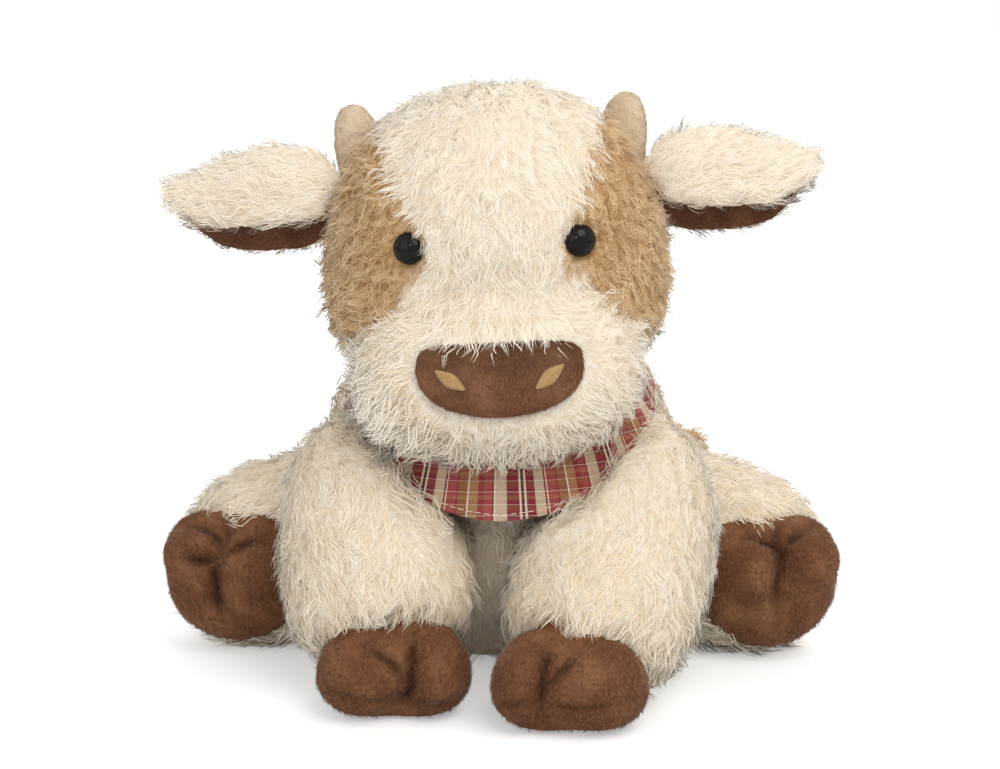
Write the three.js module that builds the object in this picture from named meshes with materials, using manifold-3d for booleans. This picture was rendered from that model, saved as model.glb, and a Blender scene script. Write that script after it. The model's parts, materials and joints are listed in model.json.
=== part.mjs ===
// A seated plush cow: long-pile skins over fibre filling, short-pile hooves, nose and horns,
// folded ears, safety eyes with washers, a tied bandana and a bag of pellets in the seat.
// Millimetres. +Z is up, +X is the toy's own left side, and it faces -Y.
// The origin is on the floor, under the middle of the body.

import * as THREE from 'three';
import { mergeVertices } from 'three/addons/utils/BufferGeometryUtils.js';
import Module from 'manifold-3d';

const wasm = await Module();
wasm.setup();

// Sizes that many pieces share
const skinThickness = 4;
const seamGap = 0.3;
const fillingGap = 0.8;
const movingGap = 0.6;
const flattening = 0.5;
const softBlend = 1;
const cutOverrun = 400;
const weldDistance = 0.0001;
const sweepStepDegrees = 10;

// Body, a pear that leans back a little. The sink is how far its round underside would reach below the floor.
const bodyHeight = 150;
const bodySink = 2;
const bodyHalfWidth = 73;
const bodyHalfDepth = 62;
const bodySeatBack = 20;
const bodyEndShare = 0.02;
const bodyWidthShares = [0.86, 0.98, 1, 0.96, 0.87, 0.66];
const bodyDepthShares = [0.88, 1, 1, 0.93, 0.84, 0.76];
const seatPanelRadius = 38;
const pelletBagHalfWidth = 38;
const pelletBagHalfDepth = 32;
const pelletBagHeight = 24;

// Head, measured from the middle of the neck seam
const neckHeight = 138;
const headRollDegrees = 2.7;
const headTurnDegrees = 15;
const skullHalfWidth = 64;
const skullHalfDepth = 54;
const skullHalfHeight = 54;
const skullForward = 25;
const skullRise = 47;
const muzzleHalfWidth = 53;
const muzzleHalfDepth = 33;
const muzzleHalfHeight = 32;
const muzzleForward = 66;
const muzzleDrop = 8;
const cheekSpread = 28;
const cheekHalfWidth = 37;
const cheekHalfDepth = 38;
const cheekHalfHeight = 34;
const cheekForward = 30;
const cheekRise = 20;
const headBlend = 4;
const muzzleSeamReach = 5;
const blazeCrownHalfWidth = 44;
const blazeBrowHalfWidth = 26.5;
const blazeCheekHalfWidth = 76;

// Nose patch and its two embroidered nostrils
const noseHalfWidth = 32.5;
const noseHeightOver = 11.5;
const noseHeightUnder = 17;
const noseRoundnessOver = 4;
const noseRoundnessUnder = 2.1;
const noseThickness = 3;
const nostrilLength = 15;
const nostrilWidth = 4;
const nostrilSpread = 19.5;
const nostrilDrop = 1.5;
const nostrilSlopeDegrees = 34;
const nostrilThickness = 1.4;

// Safety eyes
const eyeDiameter = 12;
const eyeDomeHeight = 5.5;
const eyeSpread = 33;
const eyeRise = 46;
const eyeStemDiameter = 4;
const eyeStemLength = 15;
const washerDiameter = 16;
const washerThickness = 1.6;
const washerDepth = 5.6;

// Horns
const hornHalfWidth = 10.5;
const hornLength = 46;
const hornSpread = 45;
const hornTipSpread = 57;
const hornTipRise = 98;
const hornTipForward = 14;
const hornWidthShares = [1, 1.08, 0.98, 0.8];

// Ears, each a leaf folded lengthways with the fold on top
const earLength = 76;
const earRootSpread = 56;
const earRootForward = 18;
const earTipForward = 10;
const earRootRise = 68;
const earFoldRise = 77;
const earTipRise = 64;
const earFrontFlap = 28;
const earBackFlap = 43;
const earFoldRadius = 4.5;
const earSkinThickness = 4;
const earLiningThickness = 2;
const earFlopDegrees = 20;
const earWidthShares = [0.42, 0.78, 1, 1, 0.9, 0.68, 0.22];

// Hooves, one form that all four feet share
const hoofHalfWidth = 31;
const hoofHalfLength = 29;
const hoofHeightOver = 25;
const hoofHeightUnder = 14;
const hoofToeHalfWidth = 19;
const hoofToeReach = 10;
const hoofCleftBlend = 2.5;

// Front legs
const shoulderSpread = 47;
const shoulderForward = 12;
const shoulderHeight = 98;
const frontElbowSpread = 52;
const frontElbowForward = 50;
const frontElbowHeight = 68;
const frontLegHalfWidth = 35;
const frontLegHalfDepth = 31;
const frontLegWidthShares = [0.8, 0.92, 1, 0.98];
const leftHoofSpread = 27;
const leftHoofForward = 100;
const rightHoofSpread = 42;
const rightHoofForward = 84;
const frontSplayDegrees = 12;

// Hind legs
const hipSpread = 38;
const hipBack = 26;
const hipHeight = 42;
const kneeSpread = 98;
const kneeBack = 36;
const hindLegHalfWidth = 37;
const hindLegHalfDepth = 36;
const hindLegWidthShares = [0.96, 1, 0.98, 0.92];
const soleSpread = 114;
const leftSoleForward = 32;
const rightSoleForward = 24;
const soleHeight = 33;
const soleTurnDegrees = 9;
const hindSplayBackDegrees = 10;

// Tail
const tailHalfWidth = 6;
const tailRootHeight = 34;
const tailRootSpread = 12;
const tailRootBack = 80;
const tailBendSpread = 58;
const tailBendBack = 68;
const tailBendHeight = 56;
const tailEndSpread = 92;
const tailEndBack = 72;
const tailEndHeight = 72;
const tuftHalfWidth = 12;
const tuftLength = 38;
const tailWidthShares = [1, 0.9, 0.8];
const tuftWidthShares = [0.6, 1, 1, 0.55];
const tailSwingDegrees = 60;

// Bandana, folded to a triangle and tied at the back
const bandanaThickness = 2.4;
const bandanaBelowNeck = 2;
const bandanaBandWidth = 14;
const bandanaPointDrop = 61;
const bandanaPointDegrees = 96;
const bandanaPointForward = 27;
const bandanaOpenDegrees = 9;
const knotHalfWidth = 10;
const knotHalfHeight = 8;
const knotHalfDepth = 7;
const knotTailLength = 26;
const knotTailHalfWidth = 9;

// Faces on each form
const fineRings = 16;
const fineSegments = 22;
const headRings = 20;
const headSegments = 24;
const coarseRings = 8;
const coarseSegments = 10;
const bandanaSteps = 28;
const bandanaRows = 3;
const legRings = 12;
const legSegments = 14;
const hoofRings = 10;
const hoofSegments = 14;
const earSteps = 9;
const earRows = 5;
const hornRings = 10;
const hornSegments = 12;
const tuftRings = 10;
const tailRings = 16;
const innerHeadRings = 10;
const innerHeadSegments = 12;
const knotTailSteps = 4;
const knotTailRows = 2;
const neckRings = 12;
const neckBearings = 12;
const noseSteps = 28;
const outlineSteps = 3;
const eyeDomeSteps = 5;
const searchSteps = 40;

// Materials, one for each fabric or moulded part
const paint = (color, roughness) => new THREE.MeshStandardMaterial({ color, roughness, metalness: 0 });
const creamFur = () => paint('#efe3cf', 0.95);
const tanFur = () => paint('#b8956a', 0.9);
const brownPile = () => paint('#7d5038', 0.9);
const hornPile = () => paint('#cdb28a', 0.9);
const goldThread = () => paint('#c9a36b', 0.6);
const plaidCotton = () => paint('#a9444a', 0.85);
const whiteFilling = () => paint('#f4f2ec', 1);
const blackGloss = () => paint('#0c0a0a', 0.08);
const whitePlastic = () => paint('#e8e6e0', 0.5);

const xAxis = new THREE.Vector3(1, 0, 0);
const yAxis = new THREE.Vector3(0, 1, 0);
const zAxis = new THREE.Vector3(0, 0, 1);

// Solids and geometries

function toSolid(geometry) {
  const bare = geometry.clone();
  bare.deleteAttribute('normal');
  bare.deleteAttribute('uv');
  const merged = mergeVertices(bare, weldDistance);
  return new wasm.Manifold(new wasm.Mesh({
    numProp: 3,
    vertProperties: new Float32Array(merged.attributes.position.array),
    triVerts: new Uint32Array(merged.index.array),
  }));
}

function toGeometry(solid) {
  const mesh = solid.getMesh();
  const geometry = new THREE.BufferGeometry();
  geometry.setAttribute('position', new THREE.BufferAttribute(new Float32Array(mesh.vertProperties), 3));
  geometry.setIndex(new THREE.BufferAttribute(new Uint32Array(mesh.triVerts), 1));
  geometry.computeVertexNormals();
  return geometry;
}

function joined(first, ...others) {
  return others.reduce((whole, next) => whole.add(next), first);
}

function cut(solid, ...cutters) {
  return cutters.reduce((left, cutter) => left.subtract(cutter), solid);
}

// The main piece of a cut solid, without the scraps that a cut can leave beside it
function mainPiece(solid) {
  return solid.decompose().reduce((best, next) => (next.volume() > best.volume() ? next : best));
}

function moved(geometry, matrix) {
  return geometry.clone().applyMatrix4(matrix);
}

function turnAbout(pivot, axis, degrees) {
  const back = new THREE.Matrix4().makeTranslation(pivot.x, pivot.y, pivot.z);
  const turn = new THREE.Matrix4().makeRotationAxis(axis, THREE.MathUtils.degToRad(degrees));
  const there = new THREE.Matrix4().makeTranslation(-pivot.x, -pivot.y, -pivot.z);
  return back.multiply(turn).multiply(there);
}

// What a moving piece would run into: its still neighbour, seen from the piece at every step of its range.
// The neighbour is given as a function of the gap round it. At rest the piece lies close to it.
function sweptPast(neighbour, pivot, axis, lowDegrees, highDegrees) {
  const steps = Math.max(1, Math.ceil((highDegrees - lowDegrees) / sweepStepDegrees));
  const solids = Array.from({ length: steps + 1 }, (_, i) => {
    const degrees = THREE.MathUtils.lerp(lowDegrees, highDegrees, i / steps);
    const around = neighbour(degrees === 0 ? seamGap : movingGap);
    return toSolid(moved(around, turnAbout(pivot, axis, -degrees)));
  });
  return joined(...solids);
}

// A smooth value at a share of the way along a list of values
function valueAlong(values, share) {
  const place = share * (values.length - 1);
  const index = Math.min(Math.floor(place), values.length - 2);
  const before = values[Math.max(index - 1, 0)];
  const from = values[index];
  const to = values[index + 1];
  const after = values[Math.min(index + 2, values.length - 1)];
  const t = place - index;
  const leave = (to - before) / 2;
  const arrive = (after - from) / 2;
  const bend = 2 * from - 2 * to + leave + arrive;
  const pull = 3 * to - 3 * from - 2 * leave - arrive;
  return ((bend * t + pull) * t + leave) * t + from;
}

// Closed skin over a stack of rings, with a point at either end
function ringGeometry(rings, startPoint, endPoint) {
  const segments = rings[0].length;
  const points = [startPoint, ...rings.flat(), endPoint];
  const faces = [];
  const last = points.length - 1;
  for (let s = 0; s < segments; s += 1) {
    const next = (s + 1) % segments;
    faces.push(0, 1 + next, 1 + s);
    for (let r = 0; r + 1 < rings.length; r += 1) {
      const low = 1 + r * segments;
      const high = low + segments;
      faces.push(low + s, low + next, high + next);
      faces.push(low + s, high + next, high + s);
    }
    const top = last - segments;
    faces.push(top + s, top + next, last);
  }
  const geometry = new THREE.BufferGeometry();
  const flat = new Float32Array(points.flatMap((p) => [p.x, p.y, p.z]));
  geometry.setAttribute('position', new THREE.BufferAttribute(flat, 3));
  geometry.setIndex(faces);
  return geometry;
}

// How full a stuffed form is at a share of its length: a rounded end at either side of a full middle
function fullness(form, t) {
  const power = t < 0.5 ? form.startRoundness : form.endRoundness;
  return (1 - Math.abs(2 * t - 1) ** power) ** (1 / power);
}

// A stuffed tube that swells and tapers along a spine and is rounded at both ends.
// An offset makes the same form larger or smaller all round, for its inner face and its filling.
function stuffedTube(form, offset, rings, segments) {
  const alongAt = (t) => (form.level ? zAxis.clone() : form.spine.getTangentAt(t));
  const placeAt = (t) => form.spine.getPointAt(t).addScaledVector(alongAt(t), offset * (2 * t - 1));
  const stack = [];
  for (let r = 1; r < rings; r += 1) {
    const t = (1 - Math.cos((Math.PI * r) / rings)) / 2;
    const along = alongAt(t);
    const across = form.side.clone().addScaledVector(along, -form.side.dot(along)).normalize();
    const outward = new THREE.Vector3().crossVectors(along, across);
    const halfWidth = (valueAlong(form.halfWidths, t) + offset) * fullness(form, t);
    const halfDepth = (valueAlong(form.halfDepths, t) + offset) * fullness(form, t);
    const ring = [];
    for (let s = 0; s < segments; s += 1) {
      const angle = (2 * Math.PI * s) / segments;
      ring.push(placeAt(t)
        .addScaledVector(across, halfWidth * Math.cos(angle))
        .addScaledVector(outward, halfDepth * Math.sin(angle)));
    }
    stack.push(ring);
  }
  return ringGeometry(stack, placeAt(0), placeAt(1));
}

// How far a point is outside an ellipsoid, nearly
function outsideEllipsoid(point, lump) {
  const rel = point.clone().sub(lump.centre);
  const half = lump.half.clone();
  if (rel.z < 0 && lump.under) half.z = lump.under;
  const unit = rel.divide(half);
  const steep = unit.clone().divide(half).length();
  const size = unit.length();
  return steep === 0 ? -Math.min(half.x, half.y, half.z) : (size * (size - 1)) / steep;
}

// How far a point is outside a soft form made of lumps that melt into each other
function outsideLumps(point, form) {
  const sum = form.lumps.reduce((total, lump) => (
    total + Math.exp(-outsideEllipsoid(point, lump) / form.blend)
  ), 0);
  return -form.blend * Math.log(sum);
}

function surfaceAlong(form, start, direction, offset) {
  let near = 0;
  let far = form.reach;
  for (let i = 0; i < searchSteps; i += 1) {
    const middle = (near + far) / 2;
    const point = start.clone().addScaledVector(direction, middle);
    if (outsideLumps(point, form) < offset) near = middle;
    else far = middle;
  }
  return start.clone().addScaledVector(direction, near);
}

// The skin of such a form, seen from its middle. Its poles lie on X, so a cleft can run between them.
function lumpGeometry(form, offset, rings, segments) {
  const stack = [];
  const crowd = form.crowd ?? 1;
  for (let r = 1; r < rings; r += 1) {
    const share = 1 - (2 * r) / rings;
    const lift = (Math.PI / 2) * Math.sign(share) * Math.abs(share) ** crowd;
    const ring = [];
    for (let s = 0; s < segments; s += 1) {
      const angle = (2 * Math.PI * s) / segments;
      const direction = new THREE.Vector3(
        Math.sin(lift),
        -Math.cos(lift) * Math.cos(angle),
        Math.cos(lift) * Math.sin(angle),
      );
      ring.push(surfaceAlong(form, form.middle, direction, offset));
    }
    stack.push(ring);
  }
  const start = surfaceAlong(form, form.middle, new THREE.Vector3(1, 0, 0), offset);
  const end = surfaceAlong(form, form.middle, new THREE.Vector3(-1, 0, 0), offset);
  return ringGeometry(stack, start, end);
}

// A sheet with thickness, on a surface of two shares, from one offset of it to another
function sheetGeometry(surface, from, to, uSteps, vSteps) {
  const stepShare = 0.001;
  const offsetPoint = (u, v, offset) => {
    const du = surface(Math.min(u + stepShare, 1), v).sub(surface(Math.max(u - stepShare, 0), v));
    const dv = surface(u, Math.min(v + stepShare, 1)).sub(surface(u, Math.max(v - stepShare, 0)));
    const normal = du.cross(dv).normalize();
    return surface(u, v).addScaledVector(normal, offset);
  };
  const columns = vSteps + 1;
  const perSide = (uSteps + 1) * columns;
  const points = [];
  for (const offset of [from, to]) {
    for (let i = 0; i <= uSteps; i += 1) {
      for (let j = 0; j <= vSteps; j += 1) {
        points.push(offsetPoint(i / uSteps, j / vSteps, offset));
      }
    }
  }
  const faces = [];
  const quad = (a, b, c, d) => faces.push(a, b, c, a, c, d);
  for (let i = 0; i < uSteps; i += 1) {
    for (let j = 0; j < vSteps; j += 1) {
      const a = i * columns + j;
      const b = a + columns;
      quad(perSide + a, perSide + b, perSide + b + 1, perSide + a + 1);
      quad(a, a + 1, b + 1, b);
    }
  }
  for (let i = 0; i < uSteps; i += 1) {
    const a = i * columns;
    const b = a + columns;
    quad(a, b, perSide + b, perSide + a);
    quad(b + vSteps, a + vSteps, perSide + a + vSteps, perSide + b + vSteps);
  }
  for (let j = 0; j < vSteps; j += 1) {
    const far = uSteps * columns + j;
    quad(j + 1, j, perSide + j, perSide + j + 1);
    quad(far, far + 1, perSide + far + 1, perSide + far);
  }
  const geometry = new THREE.BufferGeometry();
  const flat = new Float32Array(points.flatMap((p) => [p.x, p.y, p.z]));
  geometry.setAttribute('position', new THREE.BufferAttribute(flat, 3));
  geometry.setIndex(faces);
  return geometry;
}

// A flat outline in front view, pushed from one depth to another along Y
function frontExtrusion(shape, fromY, toY) {
  const geometry = new THREE.ExtrudeGeometry(shape, {
    depth: toY - fromY,
    bevelEnabled: false,
    curveSegments: outlineSteps,
  });
  geometry.rotateX(Math.PI / 2);
  geometry.translate(0, toY, 0);
  return geometry;
}

function mesh(name, solid, material) {
  const piece = new THREE.Mesh(toGeometry(mainPiece(solid)), material);
  piece.name = name;
  return piece;
}

// Everything that touches the floor is pressed flat on it
const belowFloor = toSolid(new THREE.BoxGeometry(cutOverrun, cutOverrun, cutOverrun)
  .translate(0, 0, -cutOverrun / 2));

// Body

const bodyForm = {
  spine: new THREE.LineCurve3(
    new THREE.Vector3(0, bodySeatBack, -bodySink),
    new THREE.Vector3(0, 0, bodyHeight),
  ),
  halfWidths: bodyWidthShares.map((share) => share * bodyHalfWidth),
  halfDepths: bodyDepthShares.map((share) => share * bodyHalfDepth),
  side: xAxis,
  level: true,
  startRoundness: 8,
  endRoundness: 3.4,
};

function bodyShare(height) {
  return (height + bodySink) / (bodyHeight + bodySink);
}

// How far the body reaches from its spine at a height, in a direction round it
function bodyReach(height, bearing) {
  const t = THREE.MathUtils.clamp(bodyShare(height), bodyEndShare, 1 - bodyEndShare);
  const halfWidth = valueAlong(bodyForm.halfWidths, t) * fullness(bodyForm, t);
  const halfDepth = valueAlong(bodyForm.halfDepths, t) * fullness(bodyForm, t);
  return 1 / Math.hypot(Math.sin(bearing) / halfWidth, Math.cos(bearing) / halfDepth);
}

function bodySpineBack(height) {
  return bodyForm.spine.getPointAt(THREE.MathUtils.clamp(bodyShare(height), 0, 1)).y;
}

const bodyOuter = stuffedTube(bodyForm, 0, fineRings, fineSegments);
const bodyInner = stuffedTube(bodyForm, -skinThickness, coarseRings, coarseSegments);
const bodyFill = stuffedTube(bodyForm, -skinThickness - fillingGap, coarseRings, coarseSegments);
const bodyWithGap = (gap) => stuffedTube(bodyForm, gap, fineRings, fineSegments);

const seatCylinder = (radius, height) => new THREE.CylinderGeometry(radius, radius, height, fineSegments)
  .rotateX(Math.PI / 2)
  .translate(0, bodySeatBack, height / 2);
const seatPanel = toSolid(seatCylinder(seatPanelRadius, skinThickness));
const seatHole = toSolid(seatCylinder(seatPanelRadius + seamGap, skinThickness * 4)
  .translate(0, 0, -skinThickness * 2));
const aboveSeatPanel = toSolid(new THREE.BoxGeometry(cutOverrun, cutOverrun, cutOverrun)
  .translate(0, 0, skinThickness + seamGap + cutOverrun / 2));
const pelletMiddle = new THREE.Vector3(0, bodySeatBack, skinThickness + seamGap + pelletBagHeight / 2);
const pelletForm = {
  lumps: [{
    centre: pelletMiddle,
    half: new THREE.Vector3(pelletBagHalfWidth, pelletBagHalfDepth, pelletBagHeight / 2),
  }],
  blend: softBlend,
  middle: pelletMiddle,
  reach: pelletBagHalfWidth * 2,
};
const pelletBag = toSolid(lumpGeometry(pelletForm, 0, coarseRings, coarseSegments));
const pelletPocket = toSolid(lumpGeometry(pelletForm, seamGap * 2, coarseRings, coarseSegments));

const bodySkin = cut(
  toSolid(bodyOuter),
  toSolid(bodyInner).intersect(aboveSeatPanel),
  belowFloor,
  seatHole,
  pelletPocket,
);
const bodyStuffing = cut(toSolid(bodyFill).intersect(aboveSeatPanel), pelletPocket);

// Bandana

const bandanaTopHeight = neckHeight - bandanaBelowNeck;
const bandanaShare = (bearing) => {
  const share = Math.abs(THREE.MathUtils.radToDeg(bearing)) / bandanaPointDegrees;
  return share < 1 ? Math.cos((share * Math.PI) / 2) ** 2 : 0;
};

function bandanaSurface(u, v, margin) {
  const open = THREE.MathUtils.degToRad(bandanaOpenDegrees);
  const bearing = THREE.MathUtils.lerp(-Math.PI + open, Math.PI - open, u);
  const share = bandanaShare(bearing);
  const triangle = (bandanaPointDrop - bandanaBandWidth + bandanaThickness) * share;
  const drop = bandanaBandWidth + triangle + margin * 2;
  const height = bandanaTopHeight + margin - drop * v;
  const clear = seamGap + bandanaThickness;
  const reach = bodyReach(height, bearing) + clear + bandanaPointForward * share * v;
  return new THREE.Vector3(
    Math.sin(bearing) * reach,
    bodySpineBack(height) - Math.cos(bearing) * reach,
    height,
  );
}

const bandanaSheet = (inside, outside, margin) => sheetGeometry(
  (u, v) => bandanaSurface(u, v, margin),
  -bandanaThickness / 2 - inside,
  bandanaThickness / 2 + outside,
  bandanaSteps,
  bandanaRows,
);
const bandana = toSolid(bandanaSheet(0, 0, 0));

// Where the knot sits, on the band at the back of the neck
const knotHeight = bandanaTopHeight - bandanaBandWidth / 2;
const knotMiddle = new THREE.Vector3(
  0,
  bodySpineBack(knotHeight) + bodyReach(knotHeight, Math.PI) + seamGap + knotHalfDepth,
  knotHeight,
);
const knotForm = {
  lumps: [{ centre: knotMiddle, half: new THREE.Vector3(knotHalfWidth, knotHalfDepth, knotHalfHeight) }],
  blend: softBlend,
  middle: knotMiddle,
  reach: knotHalfWidth * 2,
};
// The two ends of the cloth come out of the knot, spread apart and widen as they hang
const knotTail = (side) => sheetGeometry(
  (u, v) => {
    const height = knotHeight - knotTailLength * u;
    const middle = side * THREE.MathUtils.lerp(knotHalfWidth * 0.3, knotHalfWidth * 1.4, u);
    const half = side * knotTailHalfWidth * THREE.MathUtils.lerp(0.35, 1, u);
    const x = middle + half * (2 * v - 1);
    const reach = bodyReach(height, Math.PI) + seamGap * 2 + bandanaThickness + knotHalfDepth * 0.4;
    return new THREE.Vector3(x, bodySpineBack(height) + reach - (x * x) / bodyHalfWidth, height);
  },
  -bandanaThickness / 2,
  bandanaThickness / 2,
  knotTailSteps,
  knotTailRows,
);
const bandanaKnot = cut(
  joined(
    toSolid(lumpGeometry(knotForm, 0, coarseRings, coarseSegments)),
    toSolid(knotTail(1)),
    toSolid(knotTail(-1)),
  ),
  toSolid(bandanaSheet(seamGap, seamGap, seamGap)),
  toSolid(bodyWithGap(seamGap)),
);

// Head, in its own group with its origin in the neck seam

const head = new THREE.Group();
head.position.set(0, 0, neckHeight);
head.rotation.y = -THREE.MathUtils.degToRad(headRollDegrees);
head.updateMatrixWorld(true);
const toHead = head.matrixWorld.clone().invert();
const headOrigin = new THREE.Vector3();

const headForm = {
  lumps: [
    {
      centre: new THREE.Vector3(0, -skullForward, skullRise),
      half: new THREE.Vector3(skullHalfWidth, skullHalfDepth, skullHalfHeight),
    },
    {
      centre: new THREE.Vector3(0, -muzzleForward, -muzzleDrop),
      half: new THREE.Vector3(muzzleHalfWidth, muzzleHalfDepth, muzzleHalfHeight),
    },
    {
      centre: new THREE.Vector3(cheekSpread, -cheekForward, cheekRise),
      half: new THREE.Vector3(cheekHalfWidth, cheekHalfDepth, cheekHalfHeight),
    },
    {
      centre: new THREE.Vector3(-cheekSpread, -cheekForward, cheekRise),
      half: new THREE.Vector3(cheekHalfWidth, cheekHalfDepth, cheekHalfHeight),
    },
  ],
  blend: headBlend,
  middle: new THREE.Vector3(0, -(skullForward + muzzleForward) / 2, (skullRise - muzzleDrop) / 2),
  reach: skullHalfWidth * 3,
};
const headSolid = (offset, rings, segments) => toSolid(lumpGeometry(headForm, offset, rings, segments));

// The point of the face at a place in front view, and which way the face looks there
function facePoint(x, z) {
  return surfaceAlong(headForm, new THREE.Vector3(x, -skullForward, z), new THREE.Vector3(0, -1, 0), 0);
}

function faceNormal(point) {
  const step = seamGap;
  const slope = (axis) => outsideLumps(point.clone().addScaledVector(axis, step), headForm)
    - outsideLumps(point.clone().addScaledVector(axis, -step), headForm);
  return new THREE.Vector3(slope(xAxis), slope(yAxis), slope(zAxis)).normalize();
}

// What the head must clear as it turns: the body's neck and the front of the bandana, turned right round
function neckProfile() {
  const lowest = bandanaTopHeight - bandanaPointDrop;
  const bearings = Array.from({ length: neckBearings }, (_, i) => (Math.PI * i) / neckBearings);
  const bodyRadius = (height) => Math.max(...bearings.map((bearing) => {
    const reach = bodyReach(height, bearing);
    return Math.hypot(Math.sin(bearing) * reach, bodySpineBack(height) - Math.cos(bearing) * reach);
  }));
  const bandanaRadius = (height) => {
    const share = THREE.MathUtils.clamp((bandanaTopHeight - height) / bandanaPointDrop, 0, 1);
    return height > bandanaTopHeight ? 0 : -bandanaSurface(0.5, share, 0).y + bandanaThickness / 2;
  };
  const rim = Array.from({ length: neckRings }, (_, i) => {
    const share = Math.sin((i / (neckRings - 1)) * (Math.PI / 2));
    const height = THREE.MathUtils.lerp(lowest, bodyHeight - seamGap, share);
    return new THREE.Vector2(movingGap + Math.max(bodyRadius(height), bandanaRadius(height)), height);
  });
  return [new THREE.Vector2(0, lowest), ...rim, new THREE.Vector2(0, bodyHeight + movingGap)];
}
const neckTurned = new THREE.LatheGeometry(neckProfile(), fineSegments).rotateX(Math.PI / 2);
const bandanaForHead = (gap) => moved(bandanaSheet(movingGap + gap, gap, gap), toHead);
const turnAxis = zAxis.clone().transformDirection(toHead);
const neckCut = toSolid(moved(neckTurned, toHead))
  .add(sweptPast(bandanaForHead, headOrigin, turnAxis, -headTurnDegrees, headTurnDegrees));

// The muzzle panel's seam follows the muzzle lump, a little outside it
const muzzleLump = headForm.lumps[1];
const muzzleForm = {
  lumps: [muzzleLump],
  blend: softBlend,
  middle: muzzleLump.centre,
  reach: headForm.reach,
};
const muzzleRegion = (offset) => (
  toSolid(lumpGeometry(muzzleForm, muzzleSeamReach + offset, legRings, legSegments))
);

// The blaze in front view: wide over the crown, narrow between the eyes, wide again over the cheeks
const blazeRegion = (offset) => {
  const crownZ = skullRise + skullHalfHeight * 1.4;
  const browZ = skullRise - skullHalfHeight * 0.05;
  const cheekZ = skullRise - skullHalfHeight * 0.72;
  const chinZ = -muzzleDrop - muzzleHalfHeight * 2.5;
  const edge = [
    [blazeCrownHalfWidth, crownZ],
    [blazeCrownHalfWidth * 0.93, (crownZ + browZ) / 2],
    [blazeBrowHalfWidth, browZ],
    [blazeBrowHalfWidth * 1.25, (browZ * 2 + cheekZ) / 3],
    [blazeCheekHalfWidth * 0.62, cheekZ * 0.85 + browZ * 0.15],
    [blazeCheekHalfWidth, cheekZ],
  ];
  const edgePoints = (side) => edge.map(([x, z]) => new THREE.Vector2(side * (x + offset), z));
  const shape = new THREE.Shape();
  shape.moveTo(-blazeCrownHalfWidth - offset, crownZ);
  shape.lineTo(blazeCrownHalfWidth + offset, crownZ);
  shape.splineThru(edgePoints(1).slice(1));
  shape.lineTo(blazeCheekHalfWidth + offset, chinZ);
  shape.lineTo(-blazeCheekHalfWidth - offset, chinZ);
  shape.lineTo(-blazeCheekHalfWidth - offset, cheekZ);
  shape.splineThru(edgePoints(-1).slice(0, -1).reverse());
  return toSolid(frontExtrusion(shape, -cutOverrun / 2, cutOverrun / 2));
};

// Eyes: a dome on a stem, held from inside by a washer
const eyePlace = (side) => {
  const seat = facePoint(side * eyeSpread, eyeRise);
  const normal = faceNormal(seat);
  const turn = new THREE.Quaternion().setFromUnitVectors(yAxis, normal);
  return new THREE.Matrix4().compose(seat, turn, new THREE.Vector3(1, 1, 1));
};
const eyeGeometry = (grow) => {
  const profile = new THREE.Path();
  const radius = eyeDiameter / 2 + grow;
  const stem = eyeStemDiameter / 2 + grow;
  profile.moveTo(0, -eyeStemLength - grow);
  profile.lineTo(stem, -eyeStemLength - grow);
  profile.lineTo(stem, seamGap - grow);
  profile.lineTo(radius, seamGap - grow);
  for (let i = 1; i < eyeDomeSteps; i += 1) {
    const angle = (Math.PI / 2) * (i / eyeDomeSteps);
    profile.lineTo(radius * Math.cos(angle), seamGap + (eyeDomeHeight + grow) * Math.sin(angle));
  }
  profile.lineTo(0, seamGap + eyeDomeHeight + grow);
  return new THREE.LatheGeometry(profile.getPoints(1), coarseSegments);
};
const washerGeometry = (grow) => {
  const inner = eyeStemDiameter / 2 + seamGap - grow;
  const outer = washerDiameter / 2 + grow;
  const near = -washerDepth + grow;
  const far = -washerDepth - washerThickness - grow;
  return new THREE.LatheGeometry([
    new THREE.Vector2(inner, far),
    new THREE.Vector2(outer, far),
    new THREE.Vector2(outer, near),
    new THREE.Vector2(inner, near),
    new THREE.Vector2(inner, far),
  ], coarseSegments);
};
const sides = [['left', 1], ['right', -1]];
const eyeCuts = sides.flatMap(([, side]) => [
  toSolid(moved(eyeGeometry(seamGap), eyePlace(side))),
  toSolid(moved(washerGeometry(seamGap), eyePlace(side))),
]);

const headShell = cut(
  headSolid(0, headRings, headSegments),
  headSolid(-skinThickness, innerHeadRings, innerHeadSegments),
  neckCut,
  ...eyeCuts,
);
const muzzlePanel = headShell.intersect(muzzleRegion(-seamGap / 2));
const aroundMuzzle = cut(headShell, muzzleRegion(seamGap / 2));
const blazePanel = aroundMuzzle.intersect(blazeRegion(-seamGap / 2));
const besideBlaze = cut(aroundMuzzle, blazeRegion(seamGap / 2));
const halfSpace = (side) => toSolid(new THREE.BoxGeometry(cutOverrun, cutOverrun, cutOverrun)
  .translate((side * cutOverrun) / 2, 0, 0));
const headStuffing = cut(
  headSolid(-skinThickness - fillingGap, innerHeadRings, innerHeadSegments),
  neckCut,
  ...eyeCuts,
);

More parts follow.
